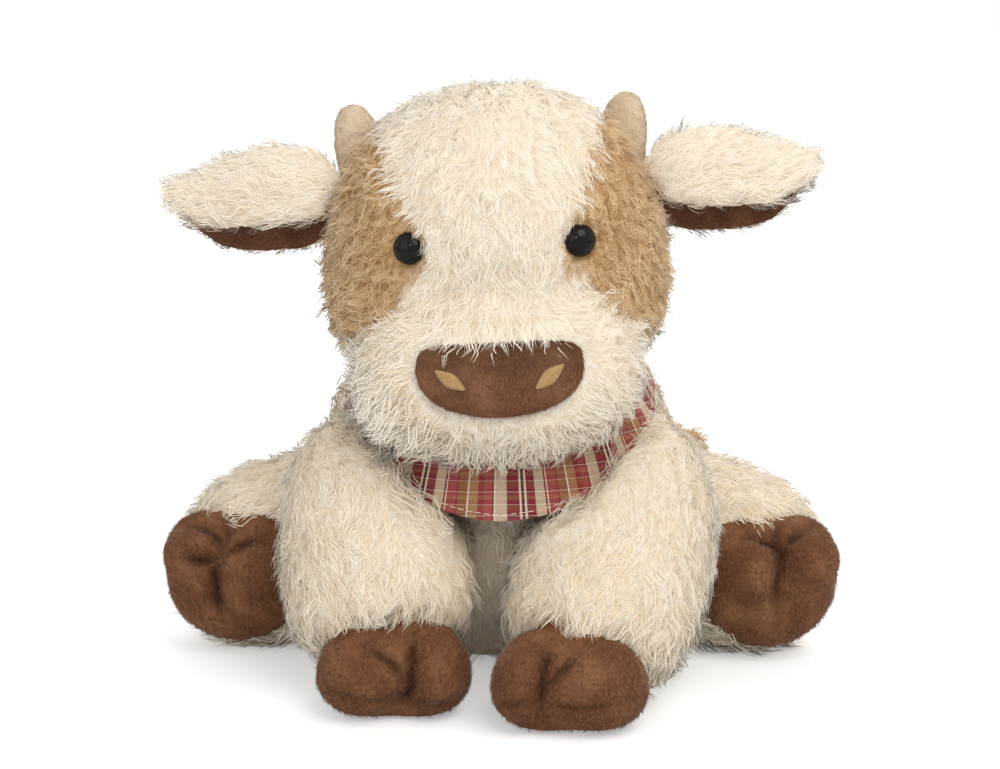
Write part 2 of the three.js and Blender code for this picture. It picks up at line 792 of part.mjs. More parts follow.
// Nose patch, lying on the muzzle: nearly square above its widest line, a deep bowl below it
const noseShape = new THREE.Shape(Array.from({ length: noseSteps }, (_, i) => {
  const angle = (2 * Math.PI * i) / noseSteps;
  const over = Math.sin(angle) > 0;
  const power = 2 / (over ? noseRoundnessOver : noseRoundnessUnder);
  const rounded = (value) => Math.sign(value) * Math.abs(value) ** power;
  return new THREE.Vector2(
    noseHalfWidth * rounded(Math.cos(angle)),
    (over ? noseHeightOver : noseHeightUnder) * rounded(Math.sin(angle)),
  );
}));
const faceLayer = (bottom, top) => cut(
  headSolid(top, headRings, headSegments),
  headSolid(bottom, headRings, headSegments),
);
const noseCutter = toSolid(frontExtrusion(noseShape, -cutOverrun / 2, -muzzleForward));
const noseTop = seamGap + noseThickness;
const nosePatch = faceLayer(seamGap, noseTop).intersect(noseCutter);

// Nostrils: satin-stitched leaves that slope down towards the middle
const nostrilCutter = (side) => {
  const leaf = new THREE.Shape();
  leaf.moveTo(-nostrilLength / 2, 0);
  leaf.quadraticCurveTo(0, nostrilWidth, nostrilLength / 2, 0);
  leaf.quadraticCurveTo(0, -nostrilWidth, -nostrilLength / 2, 0);
  const geometry = frontExtrusion(leaf, -cutOverrun / 2, -muzzleForward);
  geometry.rotateY(-side * THREE.MathUtils.degToRad(nostrilSlopeDegrees));
  geometry.translate(side * nostrilSpread, 0, -nostrilDrop);
  return toSolid(geometry);
};
const nostrilLayer = faceLayer(noseTop + seamGap, noseTop + seamGap + nostrilThickness);

// Horns
const hornForm = (side) => {
  const tip = new THREE.Vector3(side * hornTipSpread, -hornTipForward, hornTipRise);
  const low = new THREE.Vector3(side * hornSpread, -hornTipForward, hornTipRise - hornLength);
  return {
    spine: new THREE.CatmullRomCurve3([
      low,
      low.clone().lerp(tip, 0.5).add(new THREE.Vector3(side * hornHalfWidth * 0.15, 0, 0)),
      tip,
    ]),
    halfWidths: hornWidthShares.map((share) => share * hornHalfWidth),
    halfDepths: hornWidthShares.map((share) => share * hornHalfWidth),
    side: xAxis,
    startRoundness: 3,
    endRoundness: 3,
  };
};
const headCrust = headSolid(seamGap, headRings, headSegments);

// Ears, in groups that turn about the fore-and-aft line through the root seam

// The fold line of the ear, and round it the flaps, which open downwards like an arch
const earSurface = (side) => {
  const tipBack = earRootForward - earTipForward;
  const fold = new THREE.CatmullRomCurve3([
    new THREE.Vector3(0, 0, 0),
    new THREE.Vector3(side * earLength * 0.4, tipBack * 0.4, earFoldRise - earRootRise),
    new THREE.Vector3(side * earLength, tipBack, earTipRise - earRootRise),
  ]);
  return (u, v) => {
    const across = THREE.MathUtils.lerp(-earFrontFlap, earBackFlap, v) * valueAlong(earWidthShares, u);
    const curl = earFoldRadius * (0.55 + 0.45 * valueAlong(earWidthShares, u));
    const drop = Math.hypot(across, curl) - curl;
    const spread = curl * Math.asinh(across / curl);
    return fold.getPointAt(u).add(new THREE.Vector3(0, spread, -drop));
  };
};
const earSheet = (side, near, far) => {
  const [from, to] = side > 0 ? [near, far] : [-far, -near];
  return toSolid(sheetGeometry(earSurface(side), from, to, earSteps, earRows));
};

const earGroup = (side) => {
  const group = new THREE.Group();
  group.position.set(side * earRootSpread, -earRootForward, earRootRise);
  group.updateMatrix();
  const toEar = group.matrix.clone().invert();
  const past = (neighbour) => (
    sweptPast((gap) => moved(neighbour(gap), toEar), headOrigin, yAxis, -earFlopDegrees, earFlopDegrees)
  );
  const headCut = past((gap) => lumpGeometry(headForm, gap, headRings, headSegments));
  const hornCut = past((gap) => stuffedTube(hornForm(side), gap, hornRings, hornSegments));
  const name = side > 0 ? 'left' : 'right';
  const skin = earSheet(side, seamGap / 2, seamGap / 2 + earSkinThickness);
  const lining = earSheet(side, -seamGap / 2 - earLiningThickness, -seamGap / 2);
  group.add(mesh(`ear_skin_${name}`, cut(skin, headCut, hornCut), creamFur()));
  group.add(mesh(`ear_lining_${name}`, cut(lining, headCut, hornCut), brownPile()));
  return group;
};

// Hooves: two toes and a heel that melt together, with a cleft between the toes.
// Toes point along -Y and the sole looks down.
const hoofLump = (x, y, halfWidth, halfLength) => ({
  centre: new THREE.Vector3(x, y, 0),
  half: new THREE.Vector3(halfWidth, halfLength, hoofHeightOver),
  under: hoofHeightUnder,
});
const toeOffset = hoofHalfWidth - hoofToeHalfWidth;
const hoofForm = {
  lumps: [
    hoofLump(toeOffset, -hoofToeReach, hoofToeHalfWidth, hoofHalfLength - hoofToeReach),
    hoofLump(-toeOffset, -hoofToeReach, hoofToeHalfWidth, hoofHalfLength - hoofToeReach),
    hoofLump(0, hoofHalfLength * 0.15, hoofHalfWidth * 0.94, hoofHalfLength * 0.85),
  ],
  blend: hoofCleftBlend,
  middle: new THREE.Vector3(0, 0, 0),
  reach: hoofHalfWidth * 2,
  crowd: 1.35,
};

// A leg is a tube of skin, a hoof sewn over its end, and one filling in both
const legPieces = (form, hoofPlace, cuts) => {
  const hoof = (offset, rings, segments) => (
    toSolid(moved(lumpGeometry(hoofForm, offset, rings, segments), hoofPlace))
  );
  const tube = (offset, rings, segments) => toSolid(stuffedTube(form, offset, rings, segments));
  const fillOffset = -skinThickness - fillingGap;
  const hollow = tube(-skinThickness, coarseRings, coarseSegments);
  return {
    skin: cut(
      tube(0, legRings, legSegments),
      hollow,
      hoof(seamGap, hoofRings, hoofSegments),
      ...cuts,
      belowFloor,
    ),
    hoof: cut(
      hoof(0, hoofRings, hoofSegments),
      hoof(-skinThickness, coarseRings, coarseSegments),
      hollow,
      belowFloor,
    ),
    stuffing: cut(
      tube(fillOffset, coarseRings, coarseSegments).add(hoof(fillOffset, coarseRings, coarseSegments)),
      ...cuts,
      belowFloor,
    ),
  };
};

const point = (x, y, z) => new THREE.Vector3(x, y, z);

// Front legs come forward and down from the shoulders, and their hooves stand on the floor
const frontLegForm = (side) => {
  const hoofSpread = side > 0 ? leftHoofSpread : rightHoofSpread;
  const hoofForward = side > 0 ? leftHoofForward : rightHoofForward;
  return {
    spine: new THREE.CatmullRomCurve3([
      point(side * shoulderSpread, -shoulderForward, shoulderHeight),
      point(side * frontElbowSpread, -frontElbowForward, frontElbowHeight),
      point(side * hoofSpread, -hoofForward, hoofHeightUnder),
    ]),
    halfWidths: frontLegWidthShares.map((share) => share * frontLegHalfWidth),
    halfDepths: frontLegWidthShares.map((share) => share * frontLegHalfDepth),
    side: xAxis,
    startRoundness: 3,
    endRoundness: 3,
  };
};

// Hind legs lie out to the sides and turn forward, so their soles look ahead
const hindLegForm = (side) => {
  const soleForward = side > 0 ? leftSoleForward : rightSoleForward;
  return {
    spine: new THREE.QuadraticBezierCurve3(
      point(side * hipSpread, hipBack, hipHeight),
      point(side * kneeSpread, kneeBack, hindLegHalfWidth - flattening),
      point(side * soleSpread, -soleForward, soleHeight),
    ),
    halfWidths: hindLegWidthShares.map((share) => share * hindLegHalfWidth),
    halfDepths: hindLegWidthShares.map((share) => share * hindLegHalfDepth),
    side: zAxis,
    startRoundness: 3,
    endRoundness: 4,
  };
};

// The room that the bandana needs over the front legs: everything from just inside the cloth outwards
const bandanaWithGap = (gap) => bandanaSheet(movingGap + gap, bodyHalfWidth, movingGap + gap);

const legGroup = (name, pivot, pieces) => {
  const group = new THREE.Group();
  group.position.copy(pivot);
  group.add(mesh(`${name}_skin`, pieces.skin, creamFur()));
  group.add(mesh(`${name}_hoof`, pieces.hoof, brownPile()));
  group.add(mesh(`${name}_stuffing`, pieces.stuffing, whiteFilling()));
  group.children.forEach((child) => child.geometry.translate(-pivot.x, -pivot.y, -pivot.z));
  return group;
};

const frontLeg = (side) => {
  const form = frontLegForm(side);
  const pivot = point(side * shoulderSpread, -shoulderForward, shoulderHeight);
  const axis = point(0, 0, side);
  const hoofSpread = side > 0 ? leftHoofSpread : rightHoofSpread;
  const hoofForward = side > 0 ? leftHoofForward : rightHoofForward;
  const hoofMiddle = point(side * hoofSpread, -hoofForward, hoofHeightUnder - flattening);
  const place = new THREE.Matrix4().setPosition(hoofMiddle);
  const past = (neighbour) => sweptPast(neighbour, pivot, axis, 0, frontSplayDegrees);
  const name = `front_leg_${side > 0 ? 'left' : 'right'}`;
  return legGroup(name, pivot, legPieces(form, place, [past(bodyWithGap), past(bandanaWithGap)]));
};

const hindLeg = (side) => {
  const form = hindLegForm(side);
  const pivot = point(side * hipSpread, hipBack, hipHeight);
  const axis = point(0, 0, side);
  const soleForward = side > 0 ? leftSoleForward : rightSoleForward;
  const place = new THREE.Matrix4().makeTranslation(side * soleSpread, -soleForward, soleHeight)
    .multiply(new THREE.Matrix4().makeRotationZ(THREE.MathUtils.degToRad(side * soleTurnDegrees)))
    .multiply(new THREE.Matrix4().makeRotationX(-Math.PI / 2))
    .multiply(new THREE.Matrix4().makeTranslation(0, 0, hoofHeightUnder / 2));
  const name = `hind_leg_${side > 0 ? 'left' : 'right'}`;
  const pastBody = sweptPast(bodyWithGap, pivot, axis, 0, hindSplayBackDegrees);
  return legGroup(name, pivot, legPieces(form, place, [pastBody]));
};

// Tail: a thin stuffed strip round the back of the body, with a tuft at its end
const tailRoot = point(tailRootSpread, tailRootBack, tailRootHeight);
const tailEnd = point(tailEndSpread, tailEndBack, tailEndHeight);
const tailBend = point(tailBendSpread, tailBendBack, tailBendHeight);
const tailPath = new THREE.CatmullRomCurve3([tailRoot, tailBend, tailEnd]);
const tuftStart = 1 - tuftLength / tailPath.getLength();
const tuftPath = new THREE.CatmullRomCurve3([
  tailPath.getPointAt(tuftStart),
  tailPath.getPointAt((1 + tuftStart) / 2),
  tailEnd,
]);
const tailForm = {
  spine: tailPath,
  halfWidths: tailWidthShares.map((share) => share * tailHalfWidth),
  halfDepths: tailWidthShares.map((share) => share * tailHalfWidth),
  side: zAxis,
  startRoundness: 3,
  endRoundness: 3,
};
const tuftForm = {
  spine: tuftPath,
  halfWidths: tuftWidthShares.map((share) => share * tuftHalfWidth),
  halfDepths: tuftWidthShares.map((share) => share * tuftHalfWidth),
  side: zAxis,
  startRoundness: 2.4,
  endRoundness: 2.4,
};
const tailGroup = () => {
  const group = new THREE.Group();
  group.position.copy(tailRoot);
  const hip = point(hipSpread, hipBack, hipHeight);
  const thighWithGap = (gap) => stuffedTube(hindLegForm(1), gap, legRings, legSegments);
  const cuts = [
    sweptPast(bodyWithGap, tailRoot, zAxis, 0, tailSwingDegrees),
    sweptPast(thighWithGap, hip, zAxis, -hindSplayBackDegrees, 0),
  ];
  const tuft = toSolid(stuffedTube(tuftForm, 0, tuftRings, coarseSegments));
  const tuftRoom = toSolid(stuffedTube(tuftForm, seamGap, tuftRings, coarseSegments));
  const strip = toSolid(stuffedTube(tailForm, 0, tailRings, coarseSegments));
  group.add(mesh('tail_strip', cut(strip, tuftRoom, ...cuts), creamFur()));
  group.add(mesh('tail_tuft', cut(tuft, ...cuts), tanFur()));
  group.children.forEach((child) => child.geometry.translate(-tailRoot.x, -tailRoot.y, -tailRoot.z));
  return group;
};

// The assembled toy

const toy = new THREE.Group();
toy.add(mesh('body_skin', bodySkin, creamFur()));
toy.add(mesh('body_stuffing', bodyStuffing, whiteFilling()));
toy.add(mesh('seat_panel', seatPanel, creamFur()));
toy.add(mesh('pellet_bag', pelletBag, whiteFilling()));
toy.add(mesh('bandana', bandana, plaidCotton()));
toy.add(mesh('bandana_knot', bandanaKnot, plaidCotton()));

head.add(mesh('head_muzzle_panel', muzzlePanel, creamFur()));
head.add(mesh('head_blaze_panel', blazePanel, creamFur()));
head.add(mesh('head_stuffing', headStuffing, whiteFilling()));
head.add(mesh('nose_patch', nosePatch, brownPile()));
for (const [name, side] of sides) {
  head.add(mesh(`head_side_panel_${name}`, besideBlaze.intersect(halfSpace(side)), tanFur()));
  head.add(mesh(`nostril_${name}`, nostrilLayer.intersect(nostrilCutter(side)), goldThread()));
  const eye = mesh(`eye_${name}`, toSolid(eyeGeometry(0)), blackGloss());
  const washer = mesh(`eye_washer_${name}`, toSolid(washerGeometry(0)), whitePlastic());
  for (const piece of [eye, washer]) {
    eyePlace(side).decompose(piece.position, piece.quaternion, piece.scale);
    head.add(piece);
  }
  const horn = cut(toSolid(stuffedTube(hornForm(side), 0, hornRings, hornSegments)), headCrust);
  head.add(mesh(`horn_${name}`, horn, hornPile()));
  head.add(earGroup(side));
  toy.add(frontLeg(side));
  toy.add(hindLeg(side));
}
toy.add(head);
toy.add(tailGroup());

export default toy;
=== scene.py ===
# %% [markdown]
# # A seated plush cow
# The toy is a stuffed calf of long cream fur with a tan patch round each eye, velvety brown hooves,
# nose and ear linings, two small horns, black safety eyes and a plaid neckerchief. Its solids come
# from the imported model. They are as bare as blocks of clay, so this script dresses each of them in
# cloth and fur, and leaves their places alone.

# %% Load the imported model
import json
import math
import random

import bmesh
import bpy
import numpy as np
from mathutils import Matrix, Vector, noise
from mathutils.bvhtree import BVHTree

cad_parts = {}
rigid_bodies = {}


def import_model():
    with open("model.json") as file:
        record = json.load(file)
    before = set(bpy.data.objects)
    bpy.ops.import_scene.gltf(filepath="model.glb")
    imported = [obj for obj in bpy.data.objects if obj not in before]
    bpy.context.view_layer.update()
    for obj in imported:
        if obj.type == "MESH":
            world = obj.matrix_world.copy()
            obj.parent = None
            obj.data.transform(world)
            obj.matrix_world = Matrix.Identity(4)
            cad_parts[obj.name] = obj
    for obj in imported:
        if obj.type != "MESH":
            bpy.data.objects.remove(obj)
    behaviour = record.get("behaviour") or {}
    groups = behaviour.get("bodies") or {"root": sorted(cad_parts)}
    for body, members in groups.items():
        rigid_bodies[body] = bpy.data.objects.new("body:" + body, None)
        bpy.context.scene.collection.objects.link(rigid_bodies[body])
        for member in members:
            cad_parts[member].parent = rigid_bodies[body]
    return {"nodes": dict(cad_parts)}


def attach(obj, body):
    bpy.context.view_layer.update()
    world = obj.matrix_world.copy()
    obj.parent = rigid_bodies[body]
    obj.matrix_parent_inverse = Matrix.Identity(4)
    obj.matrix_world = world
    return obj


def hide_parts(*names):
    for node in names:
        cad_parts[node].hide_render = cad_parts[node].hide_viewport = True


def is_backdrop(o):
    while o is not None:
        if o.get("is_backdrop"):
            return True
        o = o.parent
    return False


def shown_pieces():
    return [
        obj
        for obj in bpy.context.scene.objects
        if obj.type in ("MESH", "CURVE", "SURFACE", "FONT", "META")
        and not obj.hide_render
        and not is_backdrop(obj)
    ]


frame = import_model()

MM = 0.001
# The fur's swirls come out the same each time
noise.seed_set(7)
sides = ("left", "right")
leg_names = ["front_leg_left", "front_leg_right", "hind_leg_left", "hind_leg_right"]
cream_panels = ["head_muzzle_panel", "head_blaze_panel"]
tan_panels = ["head_side_panel_left", "head_side_panel_right"]
head_panels = cream_panels + tan_panels
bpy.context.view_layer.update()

# %% [markdown]
# ## Camera
# The photograph looks slightly down at the toy from the front. A short lens close by would swell
# the muzzle, so a long lens stands a metre away, which gives the same mild perspective. Later steps
# also use the camera's numbers, to find where a fold that the photograph shows lies on the toy.

# %% Camera
camera_height = 0.3215
camera_back = 0.9811
looked_at = Vector((0, 0, 0.113))
photo_size = (1000, 769)
lens_mm = 85
sensor_mm = 36

camera_data = bpy.data.cameras.new("camera")
camera_data.lens = lens_mm
camera_data.sensor_width = sensor_mm
camera = bpy.data.objects.new("camera", camera_data)
camera.location = (0, -camera_back, camera_height)
camera.rotation_euler = (looked_at - camera.location).to_track_quat("-Z", "Y").to_euler()
bpy.context.scene.collection.objects.link(camera)
bpy.context.scene.camera = camera
bpy.context.view_layer.update()


def sight_line(x, y):
    """Where the camera is and the direction in which it sees a pixel of the photograph."""
    across = (x - photo_size[0] / 2) / photo_size[0] * sensor_mm
    up = (photo_size[1] / 2 - y) / photo_size[0] * sensor_mm
    direction = camera.rotation_euler.to_matrix() @ Vector((across, up, -lens_mm))
    return camera.location, direction.normalized()


print("the camera looks down by", round(90 - math.degrees(camera.rotation_euler.x), 1), "degrees")

# %% [markdown]
# ## Node helpers
# A material is a net of nodes, and each could be added and joined by hand. These helpers add a node,
# set its values and join it to others in one line, so that each material below reads as a short
# list of what it is made of.

# %% Node helpers
def put(made, values):
    """Sets a node's inputs. A value that is another node's output is joined to the input."""
    for name, value in values.items():
        if isinstance(value, bpy.types.NodeSocket):
            made.id_data.links.new(value, made.inputs[name])
        else:
            made.inputs[name].default_value = value


def node(tree, kind, settings=None, values=None):
    made = tree.nodes.new(kind)
    for name, value in (settings or {}).items():
        setattr(made, name, value)
    put(made, values or {})
    return made


def calculated(tree, operation, first, second=0.0, clamped=False):
    settings = {"operation": operation, "use_clamp": clamped}
    return node(tree, "ShaderNodeMath", settings, {0: first, 1: second}).outputs[0]


def rescaled(tree, value, low=0.0, high=1.0, new_low=0.0, new_high=1.0):
    """Turns a value between low and high into one between new_low and new_high."""
    limits = {"From Min": low, "From Max": high, "To Min": new_low, "To Max": new_high}
    return node(tree, "ShaderNodeMapRange", values={"Value": value, **limits}).outputs[0]


def mixed_colours(tree, share, first, second, blend="MIX"):
    settings = {"data_type": "RGBA", "blend_type": blend}
    return node(tree, "ShaderNodeMix", settings, {0: share, 6: first, 7: second}).outputs[2]


def ramp(tree, factor, stops, interpolation="LINEAR"):
    made = node(tree, "ShaderNodeValToRGB", values={"Fac": factor})
    made.color_ramp.interpolation = interpolation
    elements = made.color_ramp.elements
    while len(elements) < len(stops):
        elements.new(1)
    for element, (place, colour) in zip(elements, stops):
        element.position = place
        element.color = (*colour, 1)
    return made.outputs["Color"]


def object_place(tree):
    return node(tree, "ShaderNodeTexCoord").outputs["Object"]


def speckles(tree, place, scale, detail=2.0, roughness=0.5):
    """A noise whose grains are about 1 / scale metres wide."""
    values = {"Vector": place, "Scale": scale, "Detail": detail, "Roughness": roughness}
    return node(tree, "ShaderNodeTexNoise", values=values).outputs["Fac"]


def bumped(tree, height, strength, distance):
    values = {"Strength": strength, "Distance": distance, "Height": height}
    return node(tree, "ShaderNodeBump", values=values).outputs[0]


def linear(code):
    """The linear colour of a hexadecimal sRGB code."""
    parts = [int(code[i : i + 2], 16) / 255 for i in (0, 2, 4)]
    return tuple(p / 12.92 if p <= 0.04045 else ((p + 0.055) / 1.055) ** 2.4 for p in parts)


def new_material(name):
    material = bpy.data.materials.new(name)
    material.use_nodes = True
    return material, material.node_tree, material.node_tree.nodes["Principled BSDF"]


def new_group(name, inputs, outputs):
    group = bpy.data.node_groups.new(name, "ShaderNodeTree")
    for way, sockets in (("INPUT", inputs), ("OUTPUT", outputs)):
        for label, kind in sockets.items():
            group.interface.new_socket(label, in_out=way, socket_type="NodeSocket" + kind)
    return group, group.nodes.new("NodeGroupInput").outputs, group.nodes.new("NodeGroupOutput")


print("half grey is", round(linear("808080")[0], 3), "as a linear value")

# %% [markdown]
# ## Light and floor
# A photo table has soft, even light. One bare lamp would give hard shadows and a dark side, so a
# large lamp stands above and to the right, a weaker one on the left, one behind, and a pale sky
# fills the rest. A small lamp gives each eye its catchlight. The floor and the sky look white to
# the camera, and the floor still takes the toy's shadow.

# %% Light and floor
lamp_plan = {
    # name: (place, height of what it points at, width, watts, colour)
    "key_lamp": ((0.5, -0.75, 1.15), 0.1, 0.9, 8.7, (1, 0.98, 0.95)),
    "fill_lamp": ((-0.9, -0.8, 0.5), 0.1, 0.9, 2.0, (1, 0.99, 0.98)),
    "catchlight_lamp": ((-0.12, -1.0, 0.62), 0.17, 0.1, 0.9, (1, 1, 1)),
    "back_lamp": ((0.1, 0.9, 0.9), 0.12, 0.8, 4.5, (1, 1, 1)),
}
for name, (place, target_height, width, watts, colour) in lamp_plan.items():
    lamp_data = bpy.data.lights.new(name, "AREA")
    lamp_data.size = width
    lamp_data.energy = watts
    lamp_data.color = colour
    lamp = bpy.data.objects.new(name, lamp_data)
    lamp.location = place
    aim = Vector((0, 0, target_height)) - Vector(place)
    lamp.rotation_euler = aim.to_track_quat("-Z", "Y").to_euler()
    bpy.context.scene.collection.objects.link(lamp)

sky_glow = 0.62
world = bpy.data.worlds.new("studio")
bpy.context.scene.world = world
world.use_nodes = True
sky_rays = node(world.node_tree, "ShaderNodeLightPath").outputs
seen = calculated(world.node_tree, "MAXIMUM", sky_rays["Is Camera Ray"], sky_rays["Is Glossy Ray"])
sky_level = rescaled(world.node_tree, seen, new_low=sky_glow)
put(world.node_tree.nodes["Background"], {"Color": (1, 1, 1, 1), "Strength": sky_level})
bpy.context.scene.view_settings.view_transform = "Standard"

floor_reach = 4
floor_drop = 0.0006
corners = [(x * floor_reach, y * floor_reach, 0) for x, y in ((-1, -1), (1, -1), (1, 1), (-1, 1))]
floor_mesh = bpy.data.meshes.new("floor")
floor_mesh.from_pydata(corners, [], [(0, 1, 2, 3)])
floor = bpy.data.objects.new("floor", floor_mesh)
floor.location.z = -floor_drop
bpy.context.scene.collection.objects.link(floor)
floor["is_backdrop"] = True

white_table = bpy.data.materials.new("white_table")
white_table.use_nodes = True
table = white_table.node_tree
table.nodes.clear()
paint = node(table, "ShaderNodeBsdfDiffuse", values={"Color": (0.86, 0.86, 0.86, 1)})
from_middle = node(table, "ShaderNodeVectorMath", {"operation": "LENGTH"}, {0: object_place(table)})
# The glow is weak under the toy, where the shadow lies, and whitens the floor further out
rise = rescaled(table, from_middle.outputs["Value"], 0.24, 0.6, 0.36, 1.0)
table_rays = node(table, "ShaderNodeLightPath").outputs
glow_level = calculated(table, "MULTIPLY", table_rays["Is Camera Ray"], rise)
glow = node(table, "ShaderNodeEmission", values={"Strength": glow_level})
both = node(table, "ShaderNodeAddShader", values={0: paint.outputs[0], 1: glow.outputs[0]})
node(table, "ShaderNodeOutputMaterial", values={"Surface": both.outputs[0]})
floor_mesh.materials.append(white_table)
print("lamps in watts", {name: plan[3] for name, plan in lamp_plan.items()})

# %% [markdown]
# ## Tools for forms
# A stuffed toy's cloth has no hard edges. The CAD panels could be rounded one by one with a bevel,
# but they would stay apart at the seams. A voxel remesh instead grows one form over several solids,
# joins the panels that meet at a seam, and is then smoothed a little.

# %% Tools for forms
def linked(name, mesh):
    piece = bpy.data.objects.new(name, mesh)
    bpy.context.scene.collection.objects.link(piece)
    return piece


def smooth_shaded(mesh):
    mesh.polygons.foreach_set("use_smooth", [True] * len(mesh.polygons))


def largest_island(form):
    """Leaves only the island of faces with the largest box, which is the outside."""
    seen_faces, best, best_size = set(), [], -1
    for start in form.faces:
        if start in seen_faces:
            continue
        island, waiting = [], [start]
        seen_faces.add(start)
        while waiting:
            face = waiting.pop()
            island.append(face)
            for edge in face.edges:
                for other in edge.link_faces:
                    if other not in seen_faces:
                        seen_faces.add(other)
                        waiting.append(other)
        points = np.array([v.co for face in island for v in face.verts])
        size = float(np.prod(points.max(0) - points.min(0)))
        if size > best_size:
            best, best_size = island, size
    kept = set(best)
    bmesh.ops.delete(form, geom=[f for f in form.faces if f not in kept], context="FACES")
    bmesh.ops.delete(form, geom=[v for v in form.verts if not v.link_faces], context="VERTS")


def grown_form(name, nodes, voxel, rounds, levels=0):
    """A closed, smooth outer form grown round several CAD solids, as large as they are."""
    joined = bmesh.new()
    for solid in nodes:
        joined.from_mesh(frame["nodes"][solid].data)
    bmesh.ops.remove_doubles(joined, verts=joined.verts, dist=1e-7)
    surface = BVHTree.FromBMesh(joined)
    mesh = bpy.data.meshes.new(name)
    joined.to_mesh(mesh)
    joined.free()
    piece = linked(name, mesh)
    remesh = piece.modifiers.new("remesh", "REMESH")
    remesh.mode = "VOXEL"
    remesh.voxel_size = voxel
    form = evaluated_form(piece)
    largest_island(form)
    for _ in range(rounds):
        bmesh.ops.smooth_vert(
            form, verts=form.verts, factor=0.5, use_axis_x=True, use_axis_y=True, use_axis_z=True
        )
    bmesh.ops.recalc_face_normals(form, faces=form.faces)
    form.normal_update()
    # Smoothing shrinks a form, so it is let out again by what it lost on average
    lost = []
    for vert in form.verts:
        hit = surface.find_nearest(vert.co)[0]
        lost.append((hit - vert.co).dot(vert.normal))
    let_out = float(np.median(lost))
    for vert in form.verts:
        vert.co += vert.normal * let_out
    mesh.materials.clear()
    form.to_mesh(mesh)
    form.free()
    if levels:
        subdivision = piece.modifiers.new("subdivision", "SUBSURF")
        subdivision.levels = subdivision.render_levels = levels
        form = evaluated_form(piece)
        form.to_mesh(mesh)
        form.free()
    smooth_shaded(mesh)
    return piece


def evaluated_form(piece):
    """The piece's mesh with its modifiers applied, which are then removed."""
    shown = piece.evaluated_get(bpy.context.evaluated_depsgraph_get())
    form = bmesh.new()
    form.from_mesh(shown.to_mesh())
    shown.to_mesh_clear()
    piece.modifiers.clear()
    return form


def points_and_normals(mesh):
    points = np.empty(len(mesh.vertices) * 3)
    normals = np.empty(len(mesh.vertices) * 3)
    mesh.vertices.foreach_get("co", points)
    mesh.vertices.foreach_get("normal", normals)
    return points.reshape(-1, 3), normals.reshape(-1, 3)


def move_points(form, places):
    form.data.vertices.foreach_set("co", places.ravel())
    form.data.update()


def store(mesh, label, values, kind="FLOAT"):
    """Writes an attribute with one value for each point."""
    layer = mesh.attributes.get(label) or mesh.attributes.new(label, kind, "POINT")
    layer.data.foreach_set("vector" if kind == "FLOAT_VECTOR" else "value", np.asarray(values, float).ravel())


def search_tree(*meshes):
    """A tree that finds the nearest place on the meshes, or where a ray meets them."""
    joined = bmesh.new()
    for mesh in meshes:
        joined.from_mesh(mesh)
    tree = BVHTree.FromBMesh(joined)
    joined.free()
    return tree


def distances(points, tree):
    return np.array([tree.find_nearest(Vector(p))[3] for p in points])


def path_distance(points, path):
    """How far each point is from a line through the path's points."""
    least = np.full(len(points), 1e9)
    for start, end in zip(path[:-1], path[1:]):
        a, b = np.array(start), np.array(end)
        run = b - a
        share = np.clip((points - a) @ run / max(run @ run, 1e-12), 0, 1)
        least = np.minimum(least, np.linalg.norm(points - a - share[:, None] * run, axis=1))
    return least


trees = {name: search_tree(solid.data) for name, solid in frame["nodes"].items()}
print("search trees made for", len(trees), "solids")

# %% [markdown]
# ## Fur material
# Each strand has painted shade at its root, where its neighbours would shade it, and is pale at its tip.
# One colour for a whole coat would look like plastic. Each strand therefore has its place on a
# small map: across is how light the strand is, and up is the way from root to tip. Two colour ramps
# read that map, which costs far less than a picture.

# %% Fur material
STRAND_MAP = "OFBake"
white = (1, 1, 1)
pale = (1, 0.985, 0.96)


def fur_material(name, along, tints):
    material, tree, surface = new_material(name)
    place = node(tree, "ShaderNodeUVMap", {"uv_map": STRAND_MAP}).outputs[0]
    parts = node(tree, "ShaderNodeSeparateXYZ", values={"Vector": place}).outputs
    # Painted shade: the strand's colour darkens towards its root
    strand = ramp(tree, parts["Y"], [(share, linear(code)) for share, code in along])
    colour = mixed_colours(tree, 1.0, strand, ramp(tree, parts["X"], tints), "MULTIPLY")
    sheen = {"Sheen Weight": 0.18, "Sheen Roughness": 0.4}
    put(surface, {"Base Color": colour, "Roughness": 0.62, "Specular IOR Level": 0.25, **sheen})
    return material


cream_fur = fur_material(
    "cream_fur",
    [(0, "edd9ba"), (0.3, "f8eddb"), (0.7, "fbf4e7"), (1, "fefaf1")],
    [(0, (0.93, 0.84, 0.71)), (0.3, (0.98, 0.94, 0.885)), (0.7, (1, 0.988, 0.965)), (1, white)],
)
tan_fur = fur_material(
    "tan_fur",
    [(0, "b58f62"), (0.35, "cfaa7c"), (0.75, "e3c69e"), (1, "f2dcbb")],
    [(0, (0.76, 0.68, 0.6)), (0.35, (0.93, 0.91, 0.88)), (0.7, pale), (1, white)],
)
brown_strands = fur_material(
    "brown_strands",
    [(0, "472b1b"), (0.5, "7e5336"), (1, "b0805a")],
    [(0, (0.4, 0.35, 0.32)), (0.35, (0.78, 0.74, 0.7)), (0.65, pale), (1, white)],
)
beige_strands = fur_material(
    "beige_strands",
    [(0, "c0a685"), (0.5, "d1ba9c"), (1, "e3d1b8")],
    [(0, (0.9, 0.87, 0.83)), (0.35, (0.96, 0.95, 0.93)), (0.7, pale), (1, white)],
)
print("fur materials", [m.name for m in (cream_fur, tan_fur, brown_strands, beige_strands)])

# %% [markdown]
# ## Backing cloth under the fur
# The fur grows out of a knitted backing. It could stay plain, since it is seen only where the fur
# parts, but those gaps would then look like paper. It has the colour of the roots, with a mottle
# and a bump that look like dense short wool. On the head it turns from cream to tan at the seams.

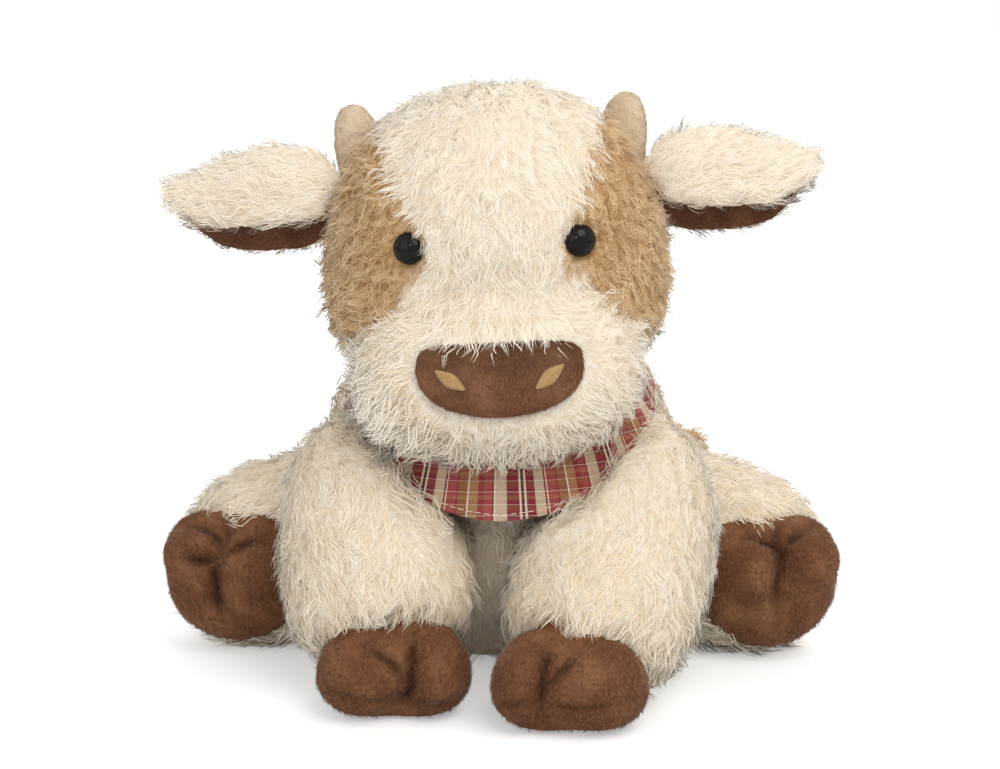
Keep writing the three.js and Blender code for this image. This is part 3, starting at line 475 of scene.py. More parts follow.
# %% Backing cloth
def backing_material(name, wool, other_wool=None):
    """Woolly cloth. Where the attribute tan_share is 1 it has the colours of the other wool."""
    material, tree, surface = new_material(name)
    place = object_place(tree)
    locks, fibres = speckles(tree, place, 320.0, 3.0), speckles(tree, place, 1500.0)
    colour = ramp(tree, locks, list(zip((0.3, 0.52, 0.75), wool)))
    if other_wool:
        other = ramp(tree, locks, list(zip((0.3, 0.52, 0.75), other_wool)))
        share = node(tree, "ShaderNodeAttribute", {"attribute_name": "tan_share"}).outputs["Fac"]
        colour = mixed_colours(tree, share, colour, other)
    put(surface, {"Base Color": colour, "Normal": bumped(tree, fibres, 0.8, 1.2 * MM)})
    put(surface, {"Roughness": 0.9, "Specular IOR Level": 0.1})
    return material


cream_wool = [linear(code) for code in ("efe1ca", "f7ecdb", "fcf5e9")]
tan_wool = [linear(code) for code in ("a67f55", "c09a6c", "d3b085")]
cream_backing = backing_material("cream_backing", cream_wool)
head_backing = backing_material("head_backing", cream_wool, tan_wool)
tan_backing = backing_material("tan_backing", tan_wool)
print("backing cloths", cream_backing.name, head_backing.name, tan_backing.name)

# %% [markdown]
# ## Velvety pile
# Hooves, nose and ear linings are velboa, a short dense pile that lies in one direction. It looks
# darker where one sees into it and paler where it lies away. Sheen alone gives only a soft edge, so
# a node group paints this shade and sheen into the colour: it mixes three browns, darker in fine rows
# and paler in broad patches, and each cloth gives it its own colours. The horns are the same cloth in beige.

# %% Velvety pile
pile_group, pile_in, pile_out = new_group(
    "pile_cloth",
    {"Dark": "Color", "Middle": "Color", "Light": "Color", "Brush scale": "Float", "Row stretch": "Float"},
    {"Colour": "Color", "Height": "Float"},
)
pile_place = object_place(pile_group)
stretch = node(pile_group, "ShaderNodeCombineXYZ", values={"X": 1.0, "Y": 1.0, "Z": pile_in["Row stretch"]})
rows = node(
    pile_group, "ShaderNodeVectorMath", {"operation": "MULTIPLY"}, {0: pile_place, 1: stretch.outputs[0]}
)
fine_pile = speckles(pile_group, rows.outputs[0], 1350.0, 2.0, 0.6)
brushed = speckles(pile_group, pile_place, pile_in["Brush scale"])
# Painted shade: fine rows turn darker, as where one sees down into the pile
painted_depth_shade = rescaled(pile_group, fine_pile, 0.3, 0.7)
# Painted sheen: broad patches turn paler, as where the pile lies away
painted_sheen_share = rescaled(pile_group, brushed, 0.42, 0.72, 0.0, 0.7)
deep = mixed_colours(pile_group, painted_depth_shade, pile_in["Dark"], pile_in["Middle"])
put(pile_out, {"Colour": mixed_colours(pile_group, painted_sheen_share, deep, pile_in["Light"]), "Height": fine_pile})


def pile_material(name, codes, brush, row_stretch, sheen):
    """Pile in three colours, dark to light. Painted shade and highlight held on its points darken or lighten it."""
    material, tree, surface = new_material(name)
    shades = {label: (*linear(code), 1) for label, code in zip(("Dark", "Middle", "Light"), codes)}
    cloth = node(tree, "ShaderNodeGroup", {"node_tree": pile_group}, shades)
    put(cloth, {"Brush scale": brush, "Row stretch": row_stretch})
    # Painted shade and highlight: this attribute scales the pile's colour
    tone = node(tree, "ShaderNodeAttribute", {"attribute_name": "tone"}).outputs["Fac"]
    level = calculated(tree, "ADD", tone, 1.0)
    with_painted_light = node(
        tree, "ShaderNodeVectorMath", {"operation": "SCALE"}, {0: cloth.outputs["Colour"], "Scale": level}
    )
    normal = bumped(tree, cloth.outputs["Height"], 0.7, 0.5 * MM)
    put(surface, {"Base Color": with_painted_light.outputs[0], "Normal": normal, "Roughness": 0.8})
    put(surface, {"Specular IOR Level": 0.15, "Sheen Weight": sheen, "Sheen Roughness": 0.35})
    put(surface, {"Sheen Tint": shades["Light"]})
    return material


hoof_pile = pile_material("hoof_pile", ("573522", "774e34", "966a49"), 70.0, 0.45, 0.5)
nose_pile = pile_material("nose_pile", ("523423", "734d36", "8a6448"), 60.0, 0.28, 0.35)
lining_pile = pile_material("lining_pile", ("4f3122", "6e4733", "855d45"), 90.0, 0.6, 0.4)
horn_pile = pile_material("horn_pile", ("c2aa8c", "d2bda0", "e2d1b7"), 60.0, 0.8, 0.3)
print("pile cloths", [m.name for m in (hoof_pile, nose_pile, lining_pile, horn_pile)])

# %% [markdown]
# ## Trunk, head, legs and ears as stuffed forms
# These are the stuffed cloth bodies that the fur grows on. A simulation could blow up the sewn
# panels, but the solids already have the stuffed shape, so each form is grown over them. The head is
# one form over its four panels and its filling, and each leg one over its sleeve and its filling.

# %% Stuffed forms
body_solids = ["body_skin", "body_stuffing", "pellet_bag", "seat_panel"]
trunk_form = grown_form("trunk_cloth", body_solids, 3 * MM, 8)
head_form = grown_form("head_cloth", head_panels + ["head_stuffing"], 3 * MM, 6)
leg_forms = {leg: grown_form(leg + "_cloth", [leg + "_skin", leg + "_stuffing"], 3 * MM, 6) for leg in leg_names}
hoof_forms = {leg: grown_form(leg + "_hoof_pile", [leg + "_hoof"], 2.2 * MM, 10, 1) for leg in leg_names}
ear_forms = {side: grown_form(f"ear_{side}_cloth", ["ear_skin_" + side], 1.2 * MM, 8) for side in sides}
lining_forms = {side: grown_form(f"ear_{side}_lining", ["ear_lining_" + side], 0.9 * MM, 6) for side in sides}
horn_forms = {side: grown_form(f"horn_{side}_pile", ["horn_" + side], 1.6 * MM, 8, 1) for side in sides}
nose_form = grown_form("nose_pile_patch", ["nose_patch"], 0.9 * MM, 4)
tail_strip_form = grown_form("tail_strip_cloth", ["tail_strip"], 1.2 * MM, 3)
tail_tuft_form = grown_form("tail_tuft_cloth", ["tail_tuft"], 1.6 * MM, 4)
print("trunk faces", len(trunk_form.data.polygons), "head faces", len(head_form.data.polygons))

# %% [markdown]
# ## Undercoat
# Under its long hair a plush coat has a dense short layer that plumps the toy out. Strands that
# fine would be too many to build, so the forms themselves are let out in soft lumps. Where a leg, an
# ear or the neckerchief lies close, they stay back to keep the gap.

# %% Undercoat
def plumped(form, depth, *neighbours):
    """Lets a form out in soft lumps by the depth of its undercoat, and less so close to its neighbours.
    Each group of neighbours comes with the distances in mm at which the undercoat begins and is full."""
    points, normals = points_and_normals(form.data)
    out = depth * np.clip((points[:, 2] - 2 * MM) / (8 * MM), 0, 1)
    for solids, near, full in neighbours:
        room = np.min([distances(points, trees[solid]) for solid in solids], axis=0)
        out *= np.clip((room / MM - near) / (full - near), 0, 1)
    lumps = np.array([noise.noise(Vector(p) * 120) + 0.5 * noise.noise(Vector(p) * 260) for p in points])
    out *= 0.8 + 0.45 * lumps
    move_points(form, points + normals * out[:, None])
    return round(float(out.max()) / MM, 1)


leg_solids = [leg + part for leg in leg_names for part in ("_skin", "_hoof")]
ear_solids = [part + side for part in ("ear_skin_", "ear_lining_") for side in sides]
horn_solids = ["horn_left", "horn_right"]
near_trunk = leg_solids + head_panels + ["tail_strip"]
deepest = {"trunk": plumped(trunk_form, 3.4 * MM, (near_trunk, 2.5, 13), (["bandana", "bandana_knot"], 1, 7))}
deepest["head"] = plumped(
    head_form,
    3.6 * MM,
    (["nose_patch", "eye_left", "eye_right"], 0.5, 4),
    (horn_solids, 0.5, 7),
    (ear_solids + ["body_skin", "bandana"], 4, 15),
)
for leg in leg_names:
    others = [solid for solid in leg_solids if not solid.startswith(leg)] + ["body_skin"]
    own_hoof = [leg + "_hoof"]
    deepest[leg] = plumped(leg_forms[leg], 3.4 * MM, (own_hoof, 0.5, 6), (others, 1.5, 10), (["bandana"], 1, 7))
for side in sides:
    beside = ["head_side_panel_" + side, "head_blaze_panel", "horn_" + side]
    deepest["ear_" + side] = plumped(ear_forms[side], 1.8 * MM, (["ear_lining_" + side], 0.6, 3), (beside, 2, 11))
print("undercoat let out in mm by at most", deepest)

# %% [markdown]
# ## Creases in the hooves
# Each hoof is a velvety cap, stitched in at its middle so that two toes form, and the stitch pulls
# folds towards it. A sculptor would draw them with a brush. Here they are pressed in along lines
# that follow the photograph, which are found on the hoof's own surface, so they stay easy to move.

# %% Creases in the hooves
pile_wall = 3 * MM


def fold_line(form, pixels):
    """The line of photograph pixels as points on the form."""
    tree = search_tree(form.data)
    centre = sum((Vector(c) for c in form.bound_box), Vector()) / 8
    line = []
    for x, y in pixels:
        start, direction = sight_line(x, y)
        hit = tree.ray_cast(start, direction)[0]
        if hit is None:
            hit = tree.find_nearest(start + direction * (centre - start).dot(direction))[0]
        line.append(np.array(hit))
    return line


def press(form, folds, view, under=0):
    """Presses folds with broad shoulders into the form along their lines. A depth below zero raises a
    soft swelling instead. The filling lies by under below the cloth and gives way with it."""
    points, normals = points_and_normals(form.data)
    dent, swelling, inner, tone = (np.zeros(len(points)) for _ in range(4))
    for line, width, depth in folds:
        from_line = path_distance(points, line)
        far = np.maximum(from_line - under, 0)
        if depth < 0:
            swelling = np.maximum(swelling, -depth * np.exp(-((far / width) ** 2)))
            continue
        ends = np.min([np.linalg.norm(points - end, axis=1) for end in (line[0], line[-1])], axis=0)
        strength = np.clip(0.35 + ends / (width * 3), 0, 1)
        dent = np.maximum(dent, (depth + under * 0.5) * np.exp(-far / (width + under * 0.4)) * strength)
        # Painted shade darkens the pile down in a fold and a painted highlight lightens the rolls beside it
        share = min(1, depth / (6 * MM)) * strength
        dark = -0.6 * np.exp(-((far / (2.4 * MM)) ** 2)) * share
        painted_roll_light = 0.26 * np.exp(-(((far - 6 * MM) / (2.8 * MM)) ** 2)) * share
        tone = np.where(dark < tone, dark, np.maximum(tone, np.where(tone < -0.02, tone, painted_roll_light)))
        # The cap's inner wall lies a cloth's thickness further in and has to keep its distance
        if not under:
            wall_far = np.maximum(from_line - pile_wall, 0)
            inner = np.maximum(inner, (depth + 1 * MM) * np.exp(-wall_far / width))
    facing = normals @ np.array(view)
    seen_side = np.clip(-facing * 3, 0, 1)
    inner *= np.clip((facing - 0.25) * 4, 0, 1)
    moved = points - normals * ((dent - swelling) * seen_side)[:, None] + normals * inner[:, None]
    moved[:, 2] = np.maximum(moved[:, 2], points[:, 2].min())
    move_points(form, moved)
    if not under:
        # Painted shade in the folds and painted highlight on the rolls, on the side that is seen
        store(form.data, "tone", tone * seen_side)


# Each fold: its line in pixels, its half width and its depth in mm
hoof_folds = {
    "front_leg_right": [
        ([(411, 627), (410, 650), (410, 670), (409, 692), (404, 708), (400, 726)], 4.4, 9.5),
        ([(368, 645), (388, 660), (407, 684)], 3.4, 6.0),
        ([(328, 688), (350, 697), (376, 702), (401, 697)], 2.4, 3.0),
        ([(412, 701), (430, 706), (448, 702), (462, 692)], 2.4, 3.0),
        ([(345, 676), (372, 686)], 8.0, -2.6),
        ([(438, 650), (442, 684)], 10.0, -2.4),
    ],
    "front_leg_left": [
        ([(549, 627), (548, 650), (543, 676), (540, 699), (541, 724)], 4.4, 9.5),
        ([(578, 656), (560, 672), (545, 694)], 3.4, 6.0),
        ([(499, 700), (512, 706), (528, 703), (538, 694)], 2.4, 3.2),
        ([(546, 708), (570, 710), (600, 708), (634, 700)], 2.4, 3.0),
        ([(512, 672), (516, 690)], 9.0, -2.6),
        ([(590, 670), (596, 694)], 10.0, -2.6),
    ],
    "hind_leg_right": [
        ([(186, 524), (202, 525), (214, 532), (221, 546), (222, 556)], 4.0, 7.5),
        ([(222, 556), (204, 562), (180, 560)], 3.8, 8.0),
        ([(219, 560), (213, 575), (214, 598), (218, 622)], 4.0, 7.5),
        ([(223, 554), (240, 545), (264, 537)], 3.8, 7.5),
        ([(222, 553), (228, 531), (234, 510)], 3.0, 5.0),
        ([(220, 552), (224, 560)], 3.6, 6.0),
        ([(186, 542), (202, 544)], 8.0, -3.4),
        ([(244, 566), (262, 578)], 11.0, -3.4),
    ],
    "hind_leg_left": [
        ([(745, 534), (759, 535), (773, 541), (782, 554), (783, 569), (778, 590), (776, 612)], 4.2, 9.0),
        ([(785, 549), (794, 536), (808, 527)], 3.8, 7.5),
        ([(783, 548), (776, 534), (768, 518)], 3.0, 4.4),
        ([(781, 546), (786, 551)], 3.6, 6.0),
        ([(756, 562), (762, 586)], 9.0, -3.6),
        ([(812, 549), (820, 566)], 9.0, -3.0),
    ],
}
for leg, folds in hoof_folds.items():
    lines = [(fold_line(hoof_forms[leg], pixels), width * MM, depth * MM) for pixels, width, depth in folds]
    view = sight_line(*folds[0][0][0])[1]
    press(leg_forms[leg], [fold for fold in lines if fold[2] > 0], view, under=2.5 * MM)
    press(hoof_forms[leg], lines, view)
print("folds pressed into", len(hoof_folds), "hooves")

# %% [markdown]
# ## Gloss, thread and washer materials
# The eyes are polished black plastic, the nostrils and the hem are sewn with thread, and the eyes'
# locking washers are pale plastic. Each is one plain colour on the real toy, but nothing real is
# quite even, so a fine noise mottles them all. One function makes them, with different values.

# %% Gloss, thread and washer materials
def mottled_material(name, scale, detail, dark, light, finish):
    """A material between two colours. Its finish is given as values of the surface."""
    material, tree, surface = new_material(name)
    mottle = speckles(tree, object_place(tree), scale, detail)
    put(surface, {"Base Color": ramp(tree, mottle, [dark, light]), **finish})
    return material, tree, surface, mottle


gloss_dark, gloss_light = (0.3, (0.004, 0.0035, 0.003)), (0.8, (0.011, 0.009, 0.008))
gloss_finish = {"Specular IOR Level": 0.18}
eye_gloss, tree, surface, haze = mottled_material(
    "black_eye_gloss", 260.0, 2.0, gloss_dark, gloss_light, gloss_finish
)
put(surface, {"Roughness": rescaled(tree, haze, new_low=0.03, new_high=0.07)})
gold_finish = {"Roughness": 0.42, "Sheen Weight": 0.3}
gold_thread, tree, surface, twist = mottled_material(
    "gold_thread", 2600.0, 1.0, (0.3, linear("94703f")), (0.7, linear("c7a26a")), gold_finish
)
put(surface, {"Normal": bumped(tree, twist, 0.5, 0.2 * MM)})
hem_thread = mottled_material(
    "hem_thread", 2000.0, 2.0, (0.3, linear("cdb7a0")), (0.7, linear("f2e6d2")), {"Roughness": 0.6}
)[0]
washer_plastic = mottled_material(
    "washer_plastic", 500.0, 2.0, (0.3, (0.78, 0.78, 0.76)), (0.7, (0.86, 0.86, 0.84)), {"Roughness": 0.35}
)[0]
for side in sides:
    for slot in frame["nodes"]["eye_washer_" + side].material_slots:
        slot.material = washer_plastic
print("made", eye_gloss.name, gold_thread.name, hem_thread.name, washer_plastic.name)

# %% [markdown]
# ## Eyes
# A safety eye is a glossy dome on a stem that a washer locks behind the cloth. A sphere would stand
# out too far and has no rim, so a profile is turned about the axis of the CAD eye: the stem, a
# rounded rim and a low dome, with enough rings to give a clean reflection.

# %% Eyes
def turned_faces(base, rings, turns):
    """The faces of a closed turned body: a first point, rings of points, and a last point."""
    faces = []
    end = base + 1 + rings * turns
    for i in range(turns):
        j = (i + 1) % turns
        faces.append((base, base + 1 + j, base + 1 + i))
        for r in range(rings - 1):
            low, high = base + 1 + r * turns, base + 1 + (r + 1) * turns
            faces.append((low + i, low + j, high + j, high + i))
        faces.append((end - turns + i, end - turns + j, end))
    return faces


def mesh_piece(name, verts, faces, material):
    mesh = bpy.data.meshes.new(name)
    mesh.from_pydata([tuple(v) for v in verts], [], faces)
    form = bmesh.new()
    form.from_mesh(mesh)
    bmesh.ops.recalc_face_normals(form, faces=form.faces)
    form.to_mesh(mesh)
    form.free()
    mesh.materials.append(material)
    smooth_shaded(mesh)
    return linked(name, mesh)


def hang(piece, body, slot, *replaced):
    """Lets a piece ride on its body, does nothing with its slot, and says which CAD solids it stands for."""
    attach(piece, body)
    if replaced:
        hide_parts(*replaced)


def node_points(name):
    mesh = frame["nodes"][name].data
    points = np.empty(len(mesh.vertices) * 3)
    mesh.vertices.foreach_get("co", points)
    return points.reshape(-1, 3)


def eye_dome(side):
    """A smooth dome turned about the axis of the CAD eye, with a rounded rim and a short stem."""
    points = node_points("eye_" + side)
    middle = points.mean(0)
    axis = np.linalg.svd(points - middle)[2][0]
    if axis[1] > 0:
        axis = -axis
    along = (points - middle) @ axis
    off = np.linalg.norm(points - middle - along[:, None] * axis, axis=1)
    front, back = along.max(), along.min()
    rim = along[off > off.max() * 0.98].min()
    radius = off.max() * 1.08
    stem = off[along < back + 0.5 * MM].max()
    shoulder = rim + 0.35 * MM
    rings = [(stem * 0.96, back), (stem, back + 0.4 * MM), (stem, rim - 0.3 * MM)]
    rings += [(radius * 0.93, rim - 0.1 * MM), (radius, shoulder)]
    dome_rings, turns = 14, 40
    for step in range(1, dome_rings):
        turn = step / dome_rings * math.pi / 2
        rings.append((radius * math.cos(turn), shoulder + (front - shoulder) * math.sin(turn)))
    across = np.cross(axis, (0, 0, 1))
    across /= np.linalg.norm(across)
    upward = np.cross(across, axis)
    verts = [middle + axis * back]
    for reach, height in rings:
        for i in range(turns):
            a = i / turns * math.tau
            verts.append(middle + axis * height + reach * (math.cos(a) * across + math.sin(a) * upward))
    verts.append(middle + axis * front)
    dome = mesh_piece("eye_dome_" + side, verts, turned_faces(0, len(rings), turns), eye_gloss)
    hang(dome, "head", "black_gloss", "eye_" + side)
    return Vector(middle + axis * rim)


eye_centres = {side: eye_dome(side) for side in sides}
print("eyes at", {side: [round(v / MM, 1) for v in place] for side, place in eye_centres.items()})

# %% [markdown]
# ## Nostrils
# The nostrils are leaves of satin stitch: gold threads that lie side by side across the leaf. A flat
# patch with a bump would show no threads from the side, so each thread is a thin closed spindle
# that bows out of the nose, and its ends lie on the nose's own surface.

# %% Nostrils
def thread(verts, faces, start, end, side, lift, radius):
    """Adds one stitch, a thin closed spindle from start to end that bows outwards by lift."""
    steps, turns = 6, 6
    faces += turned_faces(len(verts), steps - 1, turns)
    run = end - start
    up = side.cross(run).normalized()
    verts.append(start)
    for r in range(1, steps):
        t = r / steps
        centre = start + run * t + side * (lift * math.sin(math.pi * t))
        size = radius * min(1, 2.2 * math.sin(math.pi * t))
        for i in range(turns):
            a = i / turns * math.tau
            verts.append(centre + side * (size * math.cos(a)) + up * (size * math.sin(a)))
    verts.append(end)


def satin_leaf(side):
    """Threads laid across the CAD nostril, on the nose's surface. Returns how many there are."""
    threads = 26
    shortest = 0.25 * MM
    slant, sink = 0.35 * MM, 0.15 * MM
    points = node_points("nostril_" + side)
    middle = points.mean(0)
    along, across, outward = np.linalg.svd(points - middle)[2]
    if outward[1] > 0:
        outward = -outward
    half_long = np.abs((points - middle) @ along).max() * 0.9
    half_wide = np.abs((points - middle) @ across).max() * 1.9
    tree = search_tree(nose_form.data)
    verts, faces, sewn = [], [], 0
    for i in range(threads):
        t = (i + 0.5) / threads * 2 - 1
        reach = half_wide * (1 - abs(t) ** 1.6)
        if reach < shortest:
            continue
        centre = Vector(middle + along * half_long * t)
        ends = []
        for way in (-1, 1):
            beside = centre + Vector(across) * (reach * way) + Vector(along) * (slant * way)
            hit, normal = tree.find_nearest(beside)[:2]
            ends.append(hit + normal * sink)
        thread(verts, faces, *ends, Vector(outward), 0.75 * MM, half_long / threads * 1.15)
        sewn += 1
    stitching = mesh_piece("nostril_stitching_" + side, verts, faces, gold_thread)
    hang(stitching, "head", "gold_thread", "nostril_" + side)
    return sewn


print("threads in each nostril", [satin_leaf(side) for side in sides])

# %% [markdown]
# ## Plaid cloth
# The neckerchief is yarn-dyed cotton: a sequence of dark red, cream, rose and tan threads runs each
# way, and where two colours cross they mix. A picture of a plaid would blur close up. Two ramps
# with hard steps hold the two sequences, and a fine diagonal wave decides which thread lies on top,
# as a twill weave does.

# %% Plaid cloth
yarn_code = {
    "dark red": "7d1a26",
    "rose": "a9484a",
    "deep rose": "8c2b2f",
    "tan": "96633c",
    "light tan": "b08457",
    "cream": "dccbb0",
    "dark": "3d1518",
    "pale": "f9f0da",
}
warp_yarns = (
    (0.0, "dark"), (0.014, "pale"), (0.034, "dark red"), (0.12, "cream"), (0.215, "dark red"), (0.235, "pale"),
    (0.25, "rose"), (0.345, "dark red"), (0.362, "tan"), (0.455, "pale"), (0.472, "light tan"),
    (0.56, "deep rose"), (0.62, "rose"), (0.7, "dark red"), (0.718, "pale"), (0.732, "cream"),
    (0.84, "dark red"), (0.962, "pale"), (0.984, "dark"),
)
weft_yarns = (
    (0.0, "deep rose"), (0.2, "pale"), (0.23, "tan"), (0.42, "rose"), (0.56, "dark red"), (0.66, "pale"),
    (0.7, "dark"), (0.73, "rose"), (0.84, "light tan"),
)
plaid_repeat = 29 * MM
# A yarn is 0.45 mm wide, and the twill steps by one yarn each row
twill_rate = 7000.0
plaid_group, plaid_in, plaid_out = new_group(
    "plaid_cloth", {"Across": "Float", "Down": "Float", "Repeat": "Float"}, {"Colour": "Color", "Height": "Float"}
)


def plaid_yarns(coordinate, size, shift, yarns):
    """The colour of the yarn at a place, where the sequence repeats after size times Repeat."""
    repeat = calculated(plaid_group, "MULTIPLY", plaid_in["Repeat"], size)
    turns = calculated(plaid_group, "ADD", calculated(plaid_group, "DIVIDE", coordinate, repeat), shift)
    stops = [(place, linear(yarn_code[yarn])) for place, yarn in yarns]
    return ramp(plaid_group, calculated(plaid_group, "FRACT", turns), stops, "CONSTANT")


warp = plaid_yarns(plaid_in["Across"], 1.0, 0.33, warp_yarns)
weft = plaid_yarns(plaid_in["Down"], 0.33, 0.35, weft_yarns)
diagonal = calculated(plaid_group, "ADD", plaid_in["Across"], plaid_in["Down"])
twill = calculated(plaid_group, "SINE", calculated(plaid_group, "MULTIPLY", diagonal, twill_rate))
weft_share = rescaled(plaid_group, twill, -1.0, 1.0, 0.05, 0.6)
put(plaid_out, {"Colour": mixed_colours(plaid_group, weft_share, warp, weft), "Height": twill})

plaid_cotton, tree, surface = new_material("plaid_cotton")
cloth_place = node(tree, "ShaderNodeUVMap", {"uv_map": "cloth"}).outputs[0]
cloth_parts = node(tree, "ShaderNodeSeparateXYZ", values={"Vector": cloth_place}).outputs
plaid = node(tree, "ShaderNodeGroup", {"node_tree": plaid_group})
put(plaid, {"Across": cloth_parts["X"], "Down": cloth_parts["Y"], "Repeat": plaid_repeat})
put(surface, {"Base Color": plaid.outputs["Colour"], "Roughness": 0.85, "Sheen Weight": 0.15})
put(surface, {"Normal": bumped(tree, plaid.outputs["Height"], 0.6, 0.3 * MM)})
print("plaid of", len(warp_yarns), "stripes across and", len(weft_yarns), "down")

# %% [markdown]
# ## Neckerchief
# It is a square folded to a triangle and tied behind the neck, narrow at the back and deep under the
# chin. A cloth simulation would drape it, but could also let it slide off its place. It is laid on
# the CAD neckerchief's outer face as a grid instead, with small waves where it hangs free, and the
# Solidify modifier gives it its two layers. Its map follows the cloth, so the plaid doesn't stretch.

# %% Neckerchief
kerchief_top = 136 * MM
kerchief_band = 14 * MM
kerchief_drop = 61 * MM
kerchief_half_turn = math.radians(96)
kerchief_open = math.radians(9)
across_steps, down_steps = 150, 30


def bearing_at(i):
    """The bearing round the neck of a column of the cloth, 0 at the front."""
    return -math.pi + kerchief_open + (math.tau - 2 * kerchief_open) * i / across_steps


def outward_at(bearing):
    return Vector((math.sin(bearing), -math.cos(bearing), 0))


def kerchief_share(bearing):
    share = abs(bearing) / kerchief_half_turn
    return math.cos(share * math.pi / 2) ** 2 if share < 1 else 0


def kerchief_bottom(bearing):
    return kerchief_band + (kerchief_drop - kerchief_band) * kerchief_share(bearing)


def kerchief_point(bearing, v):
    """A point of the cloth: v is 0 at the fold round the neck and 1 at the hem."""
    height = kerchief_top - kerchief_bottom(bearing) * v
    away = outward_at(bearing)
    neck_middle = 20 * MM * (1 - height / 0.15)
    # A sight line that passes just under the hem is lifted until it meets the cloth
    for lifted in range(8):
        level = kerchief_top - 0.4 * MM - (kerchief_bottom(bearing) - 1.2 * MM) * min(v, 1 - 0.02 * lifted)
        start = Vector((0, neck_middle, level)) + away * 0.3
        hit = trees["bandana"].ray_cast(start, -away)[0]
        if hit is not None:
            break
    waves = math.sin(bearing * 7.5 + 1.2) * 1.1 + math.sin(bearing * 17 + v * 2.4) * 0.45
    return Vector((hit.x, hit.y, height)) + away * (waves * kerchief_share(bearing) * v * MM)


grid = [[kerchief_point(bearing_at(i), j / down_steps) for j in range(down_steps + 1)] for i in range(across_steps + 1)]
arc = [0.0]
for i in range(across_steps):
    arc.append(arc[i] + (grid[i + 1][8] - grid[i][8]).length)
kerchief_uvs = []
for i, column in enumerate(grid):
    down = 0.0
    for j, point in enumerate(column):
        down += (point - column[j - 1]).length if j else 0
        kerchief_uvs.append((arc[i] - arc[across_steps // 2] + 0.1, down))
kerchief_faces = []
for i in range(across_steps):
    for j in range(down_steps):
        a = i * (down_steps + 1) + j
        kerchief_faces.append((a, a + down_steps + 1, a + down_steps + 2, a + 1))

kerchief_mesh = bpy.data.meshes.new("kerchief")
kerchief_mesh.from_pydata([tuple(point) for column in grid for point in column], [], kerchief_faces)
cloth_map = kerchief_mesh.uv_layers.new(name="cloth")
for loop in kerchief_mesh.loops:
    cloth_map.data[loop.index].uv = kerchief_uvs[loop.vertex_index]
kerchief_mesh.materials.append(plaid_cotton)
smooth_shaded(kerchief_mesh)
if kerchief_mesh.polygons[len(kerchief_faces) // 2].normal.y > 0:
    kerchief_mesh.flip_normals()
kerchief = linked("kerchief", kerchief_mesh)
two_layers = kerchief.modifiers.new("thickness", "SOLIDIFY")
two_layers.thickness = 0.7 * MM
two_layers.offset = -1
hang(kerchief, "trunk", "plaid_cotton", "bandana")

# %% [markdown]
# ## Hem stitches
# A pale seam runs along the kerchief's edge. It could be painted in the cloth's material, but a
# real stitch stands up and catches the light, so each one is a small thread between two columns of
# the grid, always the same way in from the hem.

# %% Hem stitches
hem_inset = 2.4 * MM


def hem_point(i):
    """The place of the seam in a column of the cloth."""
    j = down_steps * (1 - hem_inset / kerchief_bottom(bearing_at(i)))
    return grid[i][int(j)].lerp(grid[i][int(j) + 1], j - int(j))


hem_verts, hem_faces = [], []
for i in range(2, across_steps - 2):
    low, high, away = hem_point(i), hem_point(i + 1), outward_at(bearing_at(i))
    start, end = (low.lerp(high, share) + away * 0.1 * MM for share in (0.08, 0.92))
    thread(hem_verts, hem_faces, start, end, away, 0.12 * MM, 0.2 * MM)
hem = mesh_piece("kerchief_hem_stitches", hem_verts, hem_faces, hem_thread)
hang(hem, "trunk", "plaid_cotton")
print("stitches in the hem", across_steps - 4)

# %% [markdown]
# ## Knot
# The ends are tied behind the neck. Tying cloth in a simulation is slow and seldom holds, so the
# knot is a soft form grown over the CAD knot, with small pulled folds pressed in by a wave. The
# plaid runs over it at a slant, as it does on cloth that is turned in a knot.

# %% Knot
knot_form = grown_form("kerchief_knot", ["bandana_knot"], 1.0 * MM, 3)
knot_map = knot_form.data.uv_layers.new(name="cloth")
for loop in knot_form.data.loops:
    place = knot_form.data.vertices[loop.vertex_index].co
    knot_map.data[loop.index].uv = (place.x * 1.1 + place.y * 0.5 + 0.1, kerchief_top - place.z + place.x * 0.3)
knot_points, knot_normals = points_and_normals(knot_form.data)
pull = np.sin(knot_points[:, 0] * 900 + knot_points[:, 2] * 260) * 0.35 * MM
knot_form.data.vertices.foreach_set("co", (knot_points + knot_normals * pull[:, None]).ravel())
knot_form.data.materials.append(plaid_cotton)
hang(knot_form, "trunk", "plaid_cotton", "bandana_knot")
print("knot faces", len(knot_form.data.polygons))

# %% [markdown]
# ## Dressing the forms
# On the real toy each panel is one cut of cloth. Painting the CAD solids would be quicker, but they
# have no soft form. So each grown form gets its cloth, rides on its body and stands for the solids
# that it covers. Two attributes on the points tint them: one holds painted shade, which makes the
# body's and legs' fur darker and warmer than the head's, and tan_share turns the head's cloth tan at
# the side panels.

# %% Dress the forms
def dress(piece, material, body, slot, replaced):
    piece.data.materials.clear()
    piece.data.materials.append(material)
    hang(piece, body, slot, *replaced)


dress(trunk_form, cream_backing, "trunk", "cream_fur", body_solids)
dress(head_form, head_backing, "head", "cream_fur", head_panels + ["head_stuffing"])
for leg in leg_names:
    dress(leg_forms[leg], cream_backing, leg, "cream_fur", [leg + "_skin", leg + "_stuffing"])
    dress(hoof_forms[leg], hoof_pile, leg, "brown_pile", [leg + "_hoof"])
for side in sides:
    dress(ear_forms[side], cream_backing, "ear_" + side, "cream_fur", ["ear_skin_" + side])
    dress(lining_forms[side], lining_pile, "ear_" + side, "brown_pile", ["ear_lining_" + side])
    dress(horn_forms[side], horn_pile, "head", "horn_pile", ["horn_" + side])
dress(nose_form, nose_pile, "head", "brown_pile", ["nose_patch"])
dress(tail_strip_form, cream_backing, "tail", "cream_fur", ["tail_strip"])
dress(tail_tuft_form, tan_backing, "tail", "tan_fur", ["tail_tuft"])

# Painted shade: the body's and legs' fur is darker and warmer than the head's
painted_body_shade = -0.32
for form in (trunk_form, *leg_forms.values()):
    store(form.data, "tone", np.full(len(form.data.vertices), painted_body_shade))

